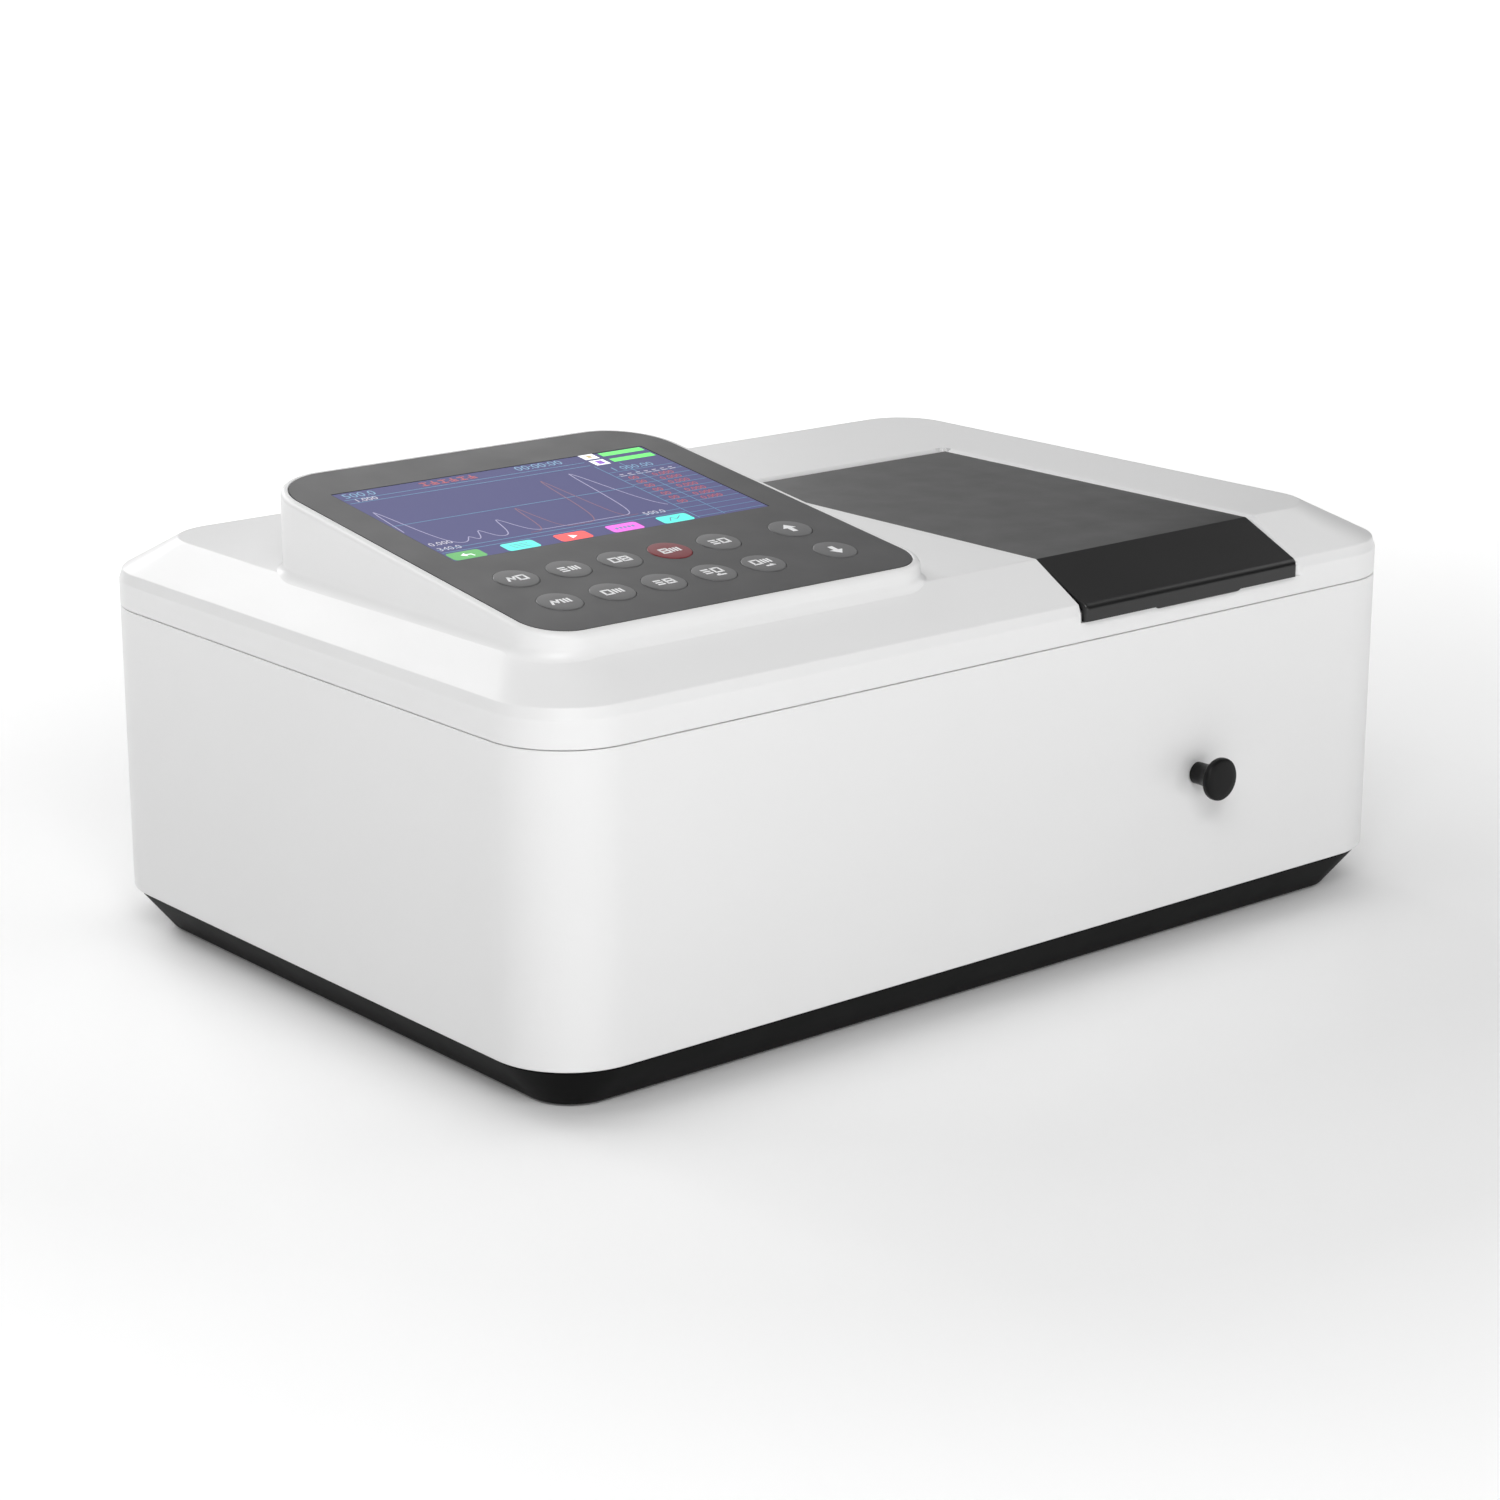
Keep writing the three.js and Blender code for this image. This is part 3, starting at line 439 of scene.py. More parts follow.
def make_case():
    """Four walls, with holes for the pull rod, the rear fittings and the fan's air."""
    low, high = case_low.z, case_high.z
    path = rounded_path([(WALL / 2, low), (0, low), (0, high), (WALL, high), (WALL, low),
                         (WALL / 2, low)], [mm(1.0), EDGE, mm(0.4), mm(0.4)], 5)[:-1]
    rings = [[(x, y, z) for x, y in case_outline(inset)] for inset, z in path]
    piece = loft("case_walls", rings, SHELL, closed=True)
    rod, fan = middle_of("pull_rod"), middle_of("fan_frame")
    rod_hole = [(mm(3.5), 0), (mm(3.5), mm(30))]
    cutters = [turned("hole", rod_hole, (rod.x, case_low.y - PAST, rod.z), (0, 1, 0), None)]
    for node in ("power_inlet", "switch_frame", "usb_port"):
        low, high = through_wall(node)
        cutters.append(block((low.x - FITTING_GAP, case_high.y - PAST, low.z - FITTING_GAP),
                             (high.x + FITTING_GAP, case_high.y + PAST, high.z + FITTING_GAP)))
    for i in range(VENT["slots"]):
        z = fan.z + (i - (VENT["slots"] - 1) / 2) * VENT["pitch"]
        cutters.append(slot_cutter(fan.x, z, VENT["width"], VENT["height"]))
    combine(piece, *cutters)
    soften(piece, mm(0.35), angle=50)
    place(piece, ROOT, "shell_white", "lower_case")


def through_wall(node):
    """The corners of the part of a rear fitting that lies inside the case's back wall."""
    corners = [v.co for v in frame["nodes"][node].data.vertices]
    return box_round(p for p in corners if p.y < case_high.y + mm(0.2))


def slot_cutter(x, z, width, height):
    shape = outline(x - width / 2, x + width / 2, z - height / 2, z + height / 2, height * 0.499, 6)
    ends = (case_high.y + mm(8), case_high.y - mm(8))
    return loft("slot", [[(u, y, v) for u, v in shape] for y in ends], None)


def cover_ring(inset, z):
    """The cover's outline at some inset: the case's own up to the bevel, then towards the plateau."""
    outer = [Vector(p) for p in case_outline(min(inset, BEVEL_INSET))]
    if inset <= BEVEL_INSET:
        return [(p.x, p.y, z) for p in outer]
    share = (inset - BEVEL_INSET) / (PLATEAU_INSET["front"] - BEVEL_INSET)
    top = outline(case_low.x + PLATEAU_INSET["left"], case_high.x - PLATEAU_INSET["right"],
                  case_low.y + PLATEAU_INSET["front"], case_high.y - PLATEAU_INSET["back"],
                  PLATEAU_RADIUS)
    return [(*p.lerp(Vector(q), share), z) for p, q in zip(outer, top)]


def lid_surface(y, depth=0.0):
    """Height of the lid's upper slope at y, lowered square to the slope."""
    return LID_TOP - (LID_CREASE - y) * LID_SLOPE - depth * math.hypot(1, LID_SLOPE)


def under_lid(depth):
    """Everything more than the depth below the lid's upper side, as a section in Y and Z."""
    front, back, floor = case_low.y - mm(16), mm(120), mm(100)
    bend = LID_CREASE + depth * LID_SLOPE / 2
    return [(front, floor), (front, lid_surface(front, depth)), (bend, LID_TOP - depth),
            (back, LID_TOP - depth), (back, floor)]


def edge_rail(path, out, radius):
    """A cutter that rounds one edge of a piece. The path lies in the plane square to out, the
    direction from the edge into the piece, and runs so that the free side is on its left."""
    out = Vector(out)
    normals = [out.cross(there - here).normalized() * -1 for here, there in zip(path, path[1:])]
    steps = 8
    section = [(-radius, -radius)]
    for step in range(steps + 1):
        angle = math.pi - math.pi / 2 * step / steps
        section.append((radius + radius * math.cos(angle), -radius + radius * math.sin(angle)))
    section += [(radius, radius), (-radius, radius)]
    rings = []
    for i, point in enumerate(path):
        beside = normals[max(i - 1, 0):i + 1]
        up = sum(beside, Vector()).normalized()
        up /= max(up.dot(beside[0]), 0.2)
        rings.append([point + out * a + up * b for a, b in section])
    return loft("rail", rings, None)


def make_seat(left, right, back):
    """A second floor just inside the cover, for the pocket to be cut into, behind the front band."""
    seam, top, front = cover_low.z, cover_high.z, case_low.y
    buried, clear, deep = mm(0.6), mm(5), mm(60)
    profile = [(buried, seam + mm(1)), (buried, BAND_TOP), (BEVEL_INSET + buried, BEVEL_TOP - buried),
               (PLATEAU_INSET["front"] + buried, top - buried)]
    seat = loft("seat", [cover_ring(inset, z) for inset, z in profile], None)
    combine(seat, block((left, front - PAST, seam - clear), (right, back, ABOVE)), operation="INTERSECT")
    left, right = left - clear, right + clear
    band_room = block((left, front + WALL, seam - clear), (right, front + deep, mm(150)))
    combine(seat, prism_x(under_lid(SEAT_DEPTH + SEAT_PLATE), left, right), band_room)
    return seat


def round_pocket(piece, left, right, back, foot):
    """Rounds the pocket's upper edges over, and more so the upright one at the front right."""
    top, front = cover_high.z, case_low.y
    side = [(back + mm(3), top), (front + PLATEAU_INSET["front"], top), (front + BEVEL_INSET, BEVEL_TOP),
            (front, BAND_TOP), (front, foot)]
    behind = [Vector((x, back, top)) for x in (left - mm(3), right + mm(3))]
    upright = [Vector((right, front, z)) for z in (ABOVE_BAND, foot)]
    combine(piece,
            edge_rail([Vector((right, y, z)) for y, z in side], (1, 0, 0), mm(2.8)),
            edge_rail([Vector((left, y, z)) for y, z in side[::-1]], (-1, 0, 0), mm(0.8)),
            edge_rail(behind, (0, 1, 0), mm(2.8)),
            edge_rail(upright, (1, 0, 0), mm(5.5)))


def make_cover():
    """The hollow cover with its bevel, slopes and plateau, and the pocket that the lid lies in."""
    seam, top, front = cover_low.z, cover_high.z, case_low.y
    full = PLATEAU_INSET["front"]
    outer = rounded_path([(WALL, seam), (0, seam), (0, BAND_TOP), (BEVEL_INSET, BEVEL_TOP),
                          (full, top), (full + mm(8), top)], [EDGE, mm(1.6), mm(1.0), mm(3)], 5)
    inner = rounded_path([(full + mm(9), top - WALL), (full + mm(1), top - WALL),
                          (WALL, BAND_TOP + mm(1.4)), (WALL, seam)], [mm(2), mm(2)], 3)[:-1]
    piece = loft("cover_moulding", [cover_ring(inset, z) for inset, z in [*inner, *outer]], SHELL)

    margin = mm(2.6)
    left, right = LID_LEFT - POCKET_GAP, LID_RIGHT + POCKET_GAP
    back = lid_high.y + POCKET_GAP
    combine(piece, make_seat(left - margin, right + margin, back + margin), operation="UNION")

    pocket = block((left, front - mm(15), seam - mm(2)), (right, back, ABOVE))
    combine(pocket, prism_x(under_lid(SEAT_DEPTH), left - PAST, right + PAST))
    opening = block((chamber_low.x + CHAMBER_WALL, chamber_low.y + CHAMBER_WALL, mm(140)),
                    (chamber_high.x - CHAMBER_WALL, chamber_high.y - CHAMBER_WALL, mm(180)))
    foot = LID_LIP - mm(0.5)
    notch = block((left, front - PAST, foot), (right, front + mm(1.8), ABOVE_BAND))
    combine(piece, pocket, opening)
    combine(piece, notch)
    round_pocket(piece, left, right, back, foot)
    tidy_normals(piece, 28)
    place(piece, ROOT, "shell_white", "top_cover")


# -------- lid

def lid_path(shift, drop):
    """The lid's section in Y and Z: its face pulled back by shift and its top lowered by drop."""
    inner_top, barrel = LID_TOP - LID_THICKNESS, HINGE_RADIUS - drop
    face, back_face = LID_FACE + shift, LID_FACE + LIP_THICKNESS
    hinge, turns = [], 18
    for step in range(turns + 1):
        angle = math.radians(-135 + 225 * step / turns)
        hinge.append((pin.y + barrel * math.cos(angle), pin.z + barrel * math.sin(angle)))
    front = rounded_path([(pin.y, LID_TOP - drop), (LID_CREASE, LID_TOP - drop),
                          (face, lid_surface(face) - drop * 1.1), (face, LID_LIP)],
                         [mm(1.8), mm(3.2)], 6)[1:]
    inside = [(back_face, LID_LIP), (back_face, lid_surface(back_face, LID_THICKNESS)),
              (LID_CREASE + LID_THICKNESS * LID_SLOPE / 2, inner_top), (pin.y - mm(3.4), inner_top)]
    return [*hinge, *front, *inside]


def corner_depth(distance, radius):
    """How far a rounded edge has drawn back at some distance from its end."""
    if distance >= radius:
        return 0.0
    return radius - math.sqrt(max(radius ** 2 - (radius - distance) ** 2, 0))


def make_lid():
    """The bent plate with its hinge barrel, rounded ends, and a rim that drops into the opening."""
    ends = [LID_CORNER * share for share in (0, 0.02, 0.08, 0.17, 0.3, 0.45, 0.65, 0.85, 1.0)]
    rings = []
    for x in [LID_LEFT + end for end in ends] + [LID_RIGHT - end for end in reversed(ends)]:
        distance = min(x - LID_LEFT, LID_RIGHT - x)
        section = lid_path(corner_depth(distance, LID_CORNER), corner_depth(distance, mm(0.7)))
        rings.append([(x, y, z) for y, z in section])
    piece = loft("sample_lid", rings, LID)
    rim_wall = mm(2.5)
    inset = CHAMBER_WALL + mm(2.5)
    left, right = chamber_low.x + inset, chamber_high.x - inset
    front, back = chamber_low.y + inset, chamber_high.y - inset
    rim = block((left, front, LID_TOP - mm(9.4)), (right, back, LID_TOP - LID_THICKNESS + mm(1)))
    combine(rim, block((left + rim_wall, front + rim_wall, mm(150)),
                       (right - rim_wall, back - rim_wall, mm(167))))
    bore = turned("bore", [(mm(1.4), 0), (mm(1.4), mm(140))], (LID_LEFT - mm(5), pin.y, pin.z),
                  (1, 0, 0), None, 32)
    combine(piece, rim, operation="UNION")
    combine(piece, bore)
    tidy_normals(piece, 32)
    place(piece, "lid", "lid_grey", "lid")


def make_tab():
    """The finger tab under the lid's lip, which runs out into the lip at both ends."""
    foot, root = lid_low.z - mm(0.4), LID_LIP + mm(2.5)
    section = [(mm(0.35), root), (0, LID_LIP + mm(0.2)), (mm(0.1), foot + mm(0.25)), (mm(0.6), foot),
               (mm(1.1), foot), (mm(1.3), root)]
    ends = ((0, 1.0), (mm(0.5), 0.45), (mm(1.2), 0.1), (mm(2), 0))
    stations = [(TAB["left"] + run, pull) for run, pull in ends]
    stations += [(TAB["right"] - run, pull) for run, pull in reversed(ends)]
    rings = [[(x, LID_FACE + y, z + max(LID_LIP - z, 0) * pull) for y, z in section]
             for x, pull in stations]
    tab = loft("lid_finger_tab", rings, LID)
    soften(tab, mm(0.25), angle=35)
    place(tab, "lid", "lid_grey")


# -------- console

def panel_frame():
    """The tilted panel: its origin at the overlay's front edge, X, up the slope, and out of it."""
    out = -Vector(press).normalized()
    up = out.cross(Vector((1, 0, 0)))
    points = [v.co for v in frame["nodes"]["console_overlay"].data.vertices]
    origin = out * max(p.dot(out) for p in points) + up * min(p.dot(up) for p in points)
    return Matrix.Translation(origin) @ Matrix(((1, 0, 0), up, out)).transposed().to_4x4()


PANEL = panel_frame()
TILT = math.asin(press[1])


def panel_box(node):
    """A node's lowest and highest corner in the panel's own axes."""
    back = PANEL.inverted()
    return box_round(back @ v.co for v in frame["nodes"][node].data.vertices)


def on_panel(made):
    made.data.transform(PANEL)
    return made


def panel_height(y):
    return PANEL.translation.z + (y - PANEL.translation.y) * math.tan(TILT)


def pod_outline(inset):
    return outline(pod_low.x + inset, pod_high.x - inset, pod_low.y + inset, pod_high.y - inset,
                   [radius - inset for radius in POD_RADII])


def cover_height(x, y):
    """Height of the cover's upper surface, on the plateau, the slopes or a rounded corner."""
    bevel = Vector((BEVEL_INSET, BEVEL_INSET))
    to_low = Vector((PLATEAU_INSET["left"], PLATEAU_INSET["front"])) - bevel
    to_high = Vector((PLATEAU_INSET["right"], PLATEAU_INSET["back"])) - bevel

    def beyond(share):
        """How far the point lies outside the ring at some share of the way up the slope."""
        low, high = case_low.xy + bevel + share * to_low, case_high.xy - bevel - share * to_high
        radius = CASE_RADIUS - BEVEL_INSET + share * (PLATEAU_RADIUS - CASE_RADIUS + BEVEL_INSET)
        middle, half = (low + high) / 2, (high - low) / 2
        out_x = abs(x - middle.x) - half.x + radius
        out_y = abs(y - middle.y) - half.y + radius
        return math.hypot(max(out_x, 0), max(out_y, 0)) + min(max(out_x, out_y), 0) - radius

    if beyond(1) <= 0:
        return cover_high.z
    inside, outside = 0.0, 1.0
    for _ in range(24):
        middle = (inside + outside) / 2
        if beyond(middle) > 0:
            outside = middle
        else:
            inside = middle
    return BEVEL_TOP + inside * (cover_high.z - BEVEL_TOP)


def quarter(steps):
    return [math.pi / 2 * step / steps for step in range(steps + 1)]


def make_pod():
    """The console: a flared foot on the cover, upright sides, a rounded rim and a sunk panel."""
    rim, recess, flare, sunk = mm(3), mm(1.5), mm(3.2), mm(0.35)
    foot = [(flare * (math.sin(a) - 1), flare * (1 - math.cos(a)) - mm(0.1)) for a in quarter(8)][1:]
    edge = [(POD_FILLET * (1 - math.cos(a)), POD_FILLET * (1 - math.sin(a))) for a in quarter(7)]
    from_cover = [(mm(5.5), -sunk), (-flare, -sunk), *foot]
    from_panel = [*edge, (rim - mm(0.25), 0), (rim, mm(0.2)), (rim, recess)]
    rings = [[(x, y, cover_height(x, y) + rise) for x, y in pod_outline(inset)]
             for inset, rise in from_cover]
    rings += [[(x, y, panel_height(y) - drop) for x, y in pod_outline(inset)]
              for inset, drop in from_panel]
    piece = loft("console_pod", rings, SHELL)
    windows = []
    for node, grow in (("display_module", mm(0.6)), ("keypad_board", mm(-0.6))):
        low, high = panel_box(node)
        windows.append(on_panel(block((low.x - grow, low.y - grow, mm(-8)),
                                      (high.x + grow, high.y + grow, mm(1)))))
    combine(piece, *windows)
    shade(piece, 30)
    weigh_normals(piece, 50)
    place(piece, ROOT, "shell_white", "console_housing")


def make_overlay():
    """The dark film on the console, with openings for the screen and the keys."""
    low = panel_box("console_overlay")[0]
    shape = [(x, (y - PANEL.translation.y) / math.cos(TILT)) for x, y in pod_outline(mm(3.3))]
    piece = loft("console_overlay_film", [[(x, y, z) for x, y in shape] for z in (low.z, 0)], OVERLAY)
    low, high = panel_box("display_glass")
    edge, depth = mm(0.3), mm(5)
    tools = [block((low.x - edge, low.y - edge, -depth), (high.x + edge, high.y + edge, depth))]
    for key in keys:
        low, high = panel_box(key)
        middle, radius = (low + high) / 2, (high.x - low.x) / 2 + mm(0.15)
        hole = [(radius, -depth), (radius, depth)]
        tools.append(turned("hole", hole, (*middle.xy, 0), UP, None, 72))
    combine(piece, *tools)
    soften(piece, mm(0.12), angle=50)
    on_panel(piece)
    place(piece, ROOT, "overlay_grey", "console_overlay")


def flat_shape(name, polygons, material, height, thickness=mm(0.03)):
    """Thin raised prints: polygons in the panel's axes, lying from height up."""
    verts, faces = [], []
    for polygon in polygons:
        start, count = len(verts), len(polygon)
        verts += [(x, y, z) for z in (height, height + thickness) for x, y in polygon]
        faces.append(tuple(start + i for i in range(count))[::-1])
        faces.append(tuple(start + count + i for i in range(count)))
        for i in range(count):
            j = (i + 1) % count
            faces.append((start + i, start + j, start + count + j, start + count + i))
    mesh = bpy.data.meshes.new(name)
    mesh.from_pydata(verts, [], faces)
    mesh.materials.append(material)
    made = bpy.data.objects.new(name, mesh)
    bpy.context.scene.collection.objects.link(made)
    return on_panel(made)


def bar(x, y, width, height):
    left, right, low, high = x - width / 2, x + width / 2, y - height / 2, y + height / 2
    return [(left, low), (right, low), (right, high), (left, high)]


def stroke(points, width):
    """A thin line along points, as one quad for each stretch."""
    quads = []
    for start, end in zip(points, points[1:]):
        start, end = Vector(start), Vector(end)
        along = end - start
        if along.length < 1e-9:
            continue
        side = Vector((-along.y, along.x)).normalized() * width / 2
        tip = along.normalized() * width * 0.3
        quads.append([tuple(p) for p in (start - side - tip, end - side + tip,
                                         end + side + tip, start + side - tip)])
    return quads


def arrow(x, y, size, way):
    """A solid arrow that points up, or down when way is -1."""
    left = [(-0.75, 0.1), (-0.28, 0.1), (-0.28, -0.8)]
    right = [(-a, b) for a, b in reversed(left)]
    return [(x + a * size, y + way * b * size) for a, b in [(0, 1), *left, *right]][::way]


def key_legend(key, x, y):
    """A plain pictogram for each key, in place of wording."""
    u = mm(1.2)
    line = 0.85 * u
    bar_length, post_height = 2.9 * u, 3.2 * u

    def path(*points):
        return stroke([(x + a * u, y + b * u) for a, b in points], line)

    def bars(*places, tall=False):
        size = (line, post_height) if tall else (bar_length, line)
        return [bar(x + a * u, y + b * u, *size) for a, b in places]

    def raised(quads):
        return [[(a, b + 1.4 * u) for a, b in quad] for quad in quads]

    zero = path((-3.4, -1.7), (-3.4, 1.7), (-0.6, 1.7), (-0.6, -1.7), (-3.7, -1.7))
    page = path((0.7, -1.7), (0.7, 1.7), (3.5, 1.7), (3.5, -1.7), (0.4, -1.7))
    wave = path((-3.6, -1.5), (-2.4, 1.5), (-1.2, -0.9), (-0.2, 1.5))
    rows = bars((-2.0, 1.5), (-2.0, 0), (-2.0, -1.5))
    posts = bars((0.8, 0), (2.1, 0), (3.4, 0), tall=True)
    legends = {
        "key_up": [arrow(x, y, 3.6 * u, 1)],
        "key_down": [arrow(x, y, 3.6 * u, -1)],
        "key_upper_1": wave + page,
        "key_upper_2": rows + posts,
        "key_upper_3": zero + page + bars((2.1, 0)),
        "key_upper_4": posts + zero + bars((-2.0, 0)),
        "key_upper_5": rows + page,
        "key_lower_1": wave + posts,
        "key_lower_2": zero + posts,
        "key_lower_3": rows + page + bars((2.1, 0)),
        "key_lower_4": raised(rows + page) + path((2.6, -2.6), (-0.6, -2.6), (0.6, -1.8)),
        "key_lower_5": raised(zero + posts) + path((-0.6, -2.6), (2.6, -2.6), (1.4, -1.8)),
    }
    return legends[key]


def make_keys():
    """Twelve slightly domed caps on stems, each with its printed legend."""
    stem, skirt = mm(3), mm(-1.2)
    for key in keys:
        low, high = panel_box(key)
        middle, radius, top = (low + high) / 2, (high.x - low.x) / 2, high.z
        profile = [(stem, low.z), (stem, skirt), (radius, skirt), (radius, top - mm(0.3)),
                   (radius - mm(0.06), top - mm(0.14)), (radius - mm(0.2), top - mm(0.04)),
                   (radius - mm(0.5), top), (radius * 0.5, top + mm(0.02)), (mm(0.2), top + mm(0.03))]
        slot = slot_of_node[key]
        finish = KEY_RED if slot == "key_red" else KEY
        cap = turned(key.replace("key", "keycap"), profile, (*middle.xy, 0), UP, finish, 72)
        place(on_panel(cap), body_of_node[key], slot, key)
        legend = flat_shape(key.replace("key", "legend"), key_legend(key, *middle.xy), PRINT,
                            top + mm(0.02))
        place(legend, body_of_node[key], slot)


# -------- display

# The picture is laid out in millimetres from the lower left corner of the screen.
SCREEN_LOW, SCREEN_HIGH = panel_box("display_glass")
SCREEN_WIDTH = (SCREEN_HIGH.x - SCREEN_LOW.x) / mm(1)
SCREEN_HEIGHT = (SCREEN_HIGH.y - SCREEN_LOW.y) / mm(1)
INK = 0.4
PLOT = {"left": 0.8, "right": 117.6, "top": 71.5, "middle": 42.5, "floor": 15.5, "bottom": 12.7}
TABLE = {"left": 118.4, "middle": 131.2, "top": 50.1, "row": 5.3}
SOFT_KEY = {"first": 8.1, "pitch": 25.1, "centre": 4.0, "width": 15.2, "height": 7.8, "corner": 1.6}
STATUS_ROWS = (SCREEN_HEIGHT - 2.6, SCREEN_HEIGHT - 10.2)
LARGE_DIGITS, SMALL_DIGITS = mm(6.8), mm(4.8)


def at(u, v):
    return SCREEN_LOW.x + mm(u), SCREEN_LOW.y + mm(v)


def line_of(*points, thick=INK):
    return stroke([at(*point) for point in points], mm(thick))


def box_at(u, v, width, height):
    return bar(*at(u, v), mm(width), mm(height))


def draw(name, polygons, finish, layer=0):
    """Lays a print on the screen; a higher layer covers the ones below it."""
    thickness = mm(0.02)
    height = SCREEN_HIGH.z + mm(0.01) + layer * thickness
    place(flat_shape(name, polygons, finish, height, thickness), ROOT, "display")


def lettering(text, u, v, size):
    """Digits as polygons in the panel's axes, from Blender's own font."""
    curve = bpy.data.curves.new("digits", "FONT")
    curve.body = text
    curve.size = size
    curve.resolution_u = 2
    holder = bpy.data.objects.new("digits", curve)
    bpy.context.scene.collection.objects.link(holder)
    mesh = evaluated_mesh(holder)
    x, y = at(u, v)
    polygons = [[(mesh.vertices[i].co.x + x, mesh.vertices[i].co.y + y) for i in polygon.vertices]
                for polygon in mesh.polygons]
    bpy.data.objects.remove(holder)
    bpy.data.meshes.remove(mesh)
    return polygons


def make_glass():
    picture, tree, shader = new_material("display_picture", (0.09, 0.10, 0.24), 0.5, IOR=1.3)
    shader.inputs["Emission Strength"].default_value = 0.28
    texture = noise(tree, 6)
    tint(tree, texture, (0.10, 0.10, 0.25), (0.12, 0.12, 0.28), shader.inputs["Emission Color"])
    tint(tree, texture, (0.08, 0.085, 0.19), (0.10, 0.10, 0.22), shader.inputs["Base Color"])
    glass = block(SCREEN_LOW, SCREEN_HIGH, "display_screen", picture)
    soften(glass, mm(0.1))
    on_panel(glass)
    place(glass, ROOT, "display", "display_glass")


def bell(u, centre, height, before, after):
    """A peak that rises and falls at different rates."""
    spread = before if u < centre else after
    return height * math.exp(-abs((u - centre) / spread) ** 1.6)


def trace(peaks, start, end, floor, steps=150):
    """A spectrum: the sum of its peaks, each given by its place, height and two widths."""
    places = [start + (end - start) * step / steps for step in range(steps + 1)]
    points = [(u, floor + sum(bell(u, *peak) for peak in peaks)) for u in places]
    return line_of(*points, thick=INK * 1.1)


def draw_plot():
    """The ruled frame, two spectra, and the digits and marks beside them."""
    cyan = glowing("display_cyan", (0.10, 0.32, 0.55), 0.35)
    pale_blue = glowing("display_pale_blue", (0.16, 0.36, 0.55), 0.5)
    white = glowing("display_white", (0.62, 0.60, 0.70), 0.5)
    pale = glowing("display_trace", (0.40, 0.38, 0.58), 0.5)
    dim_red = glowing("display_dim_red", (0.28, 0.10, 0.16), 0.35)

    levels = (SCREEN_HEIGHT - 8, PLOT["top"], PLOT["middle"], PLOT["bottom"], PLOT["bottom"] - 3.5)
    lines = [line_of((PLOT["left"], v), (PLOT["right"], v)) for v in levels]
    lines += [line_of((u, 1), (u, SCREEN_HEIGHT - 14)) for u in (TABLE["left"], TABLE["middle"])]
    rules = [2 + TABLE["row"] * k for k in range(12)]
    lines += [line_of((TABLE["left"], v), (SCREEN_WIDTH - 1, v), thick=INK * 0.8) for v in rules]
    draw("picture_frame", sum(lines, []), cyan)

    first = [(3, 44, 2.5, 4.8), (21, 5, 2.6, 1.4), (28.3, 9.5, 3, 2.6), (42, 17, 3, 4.2),
             (102.8, 51, 3.2, 7.5)]
    second = [(86.5, 49, 4.2, 2.6), (57, 26, 2.6, 3)]
    draw("picture_spectrum", trace(first, PLOT["left"], PLOT["right"] - 1, PLOT["floor"]), pale)
    draw("picture_second_spectrum", trace(second, 46, 98, PLOT["floor"] - 1), dim_red)

    scale = lettering("1.000", 4.2, PLOT["top"] + 0.8, SMALL_DIGITS)
    scale += lettering("0.000", 1.2, PLOT["floor"] + 1.8, SMALL_DIGITS)
    scale += lettering("340.0", 1.2, PLOT["bottom"] - 1.3, SMALL_DIGITS)
    scale += lettering("500.0", 100, PLOT["bottom"] - 0.9, SMALL_DIGITS)
    marks, pitch = 7, 4.2
    for k in range(marks):
        u = TABLE["left"] + 4 + k * pitch
        scale.append(box_at(u, SCREEN_HEIGHT - 28.6, 3, 0.6))
        scale.append(box_at(u, SCREEN_HEIGHT - 26.8, 2, 0.6))
    draw("picture_labels", scale, white)

    digits = lettering("500.0", 2.5, SCREEN_HEIGHT - 6.2, LARGE_DIGITS)
    digits += lettering("00:00:00", 86, SCREEN_HEIGHT - 5.6, LARGE_DIGITS)
    digits += lettering("1 000.00", TABLE["left"] + 4, SCREEN_HEIGHT - 22, LARGE_DIGITS * 0.9)
    draw("picture_digits", digits, pale_blue)


def draw_table():
    """The picture's red parts: a row of plain signs above, and the table of readings."""
    red = glowing("display_red", (0.50, 0.05, 0.07), 0.45)
    signs, pitch, top = 6, 4.6, SCREEN_HEIGHT - 2.6
    title = []
    for k in range(signs):
        u = 41 + k * pitch
        for drop, width, height in ((1.5 * (k % 2), 3.6, 0.7), (3, 3.6, 0.7), (1.4, 0.7, 4.4)):
            title.append(box_at(u, top - drop, width, height))
    draw("picture_title", title, red)
    readings = []
    for row in range(7):
        v = TABLE["top"] - row * TABLE["row"]
        readings += lettering("00", TABLE["left"] + 4, v, SMALL_DIGITS)
        readings += lettering("0.000", TABLE["middle"] + 3.4, v, SMALL_DIGITS)
    draw("picture_readings", readings, red)


def draw_status():
    """Two marks with a green bar beside each, in the upper right corner."""
    green = glowing("display_green", (0.10, 0.80, 0.12), 0.8)
    bright = glowing("display_bright_white", (0.9, 0.92, 0.95), 0.8)
    amber = glowing("display_amber", (0.55, 0.42, 0.15), 0.6)
    violet = glowing("display_violet", (0.25, 0.05, 0.60), 0.6)
    draw("picture_bars", [box_at(SCREEN_WIDTH - 12.2, v, 21.6, 4) for v in STATUS_ROWS], green)
    draw("picture_marks", [box_at(SCREEN_WIDTH - 29.2, v, 7.2, 6) for v in STATUS_ROWS], bright)
    draw("picture_lamp_mark", [box_at(SCREEN_WIDTH - 29, STATUS_ROWS[0], 2.2, 2.6)], amber, 1)
    draw("picture_disc_mark", [box_at(SCREEN_WIDTH - 29, STATUS_ROWS[1], 3.2, 3.8)], violet, 1)
    return bright


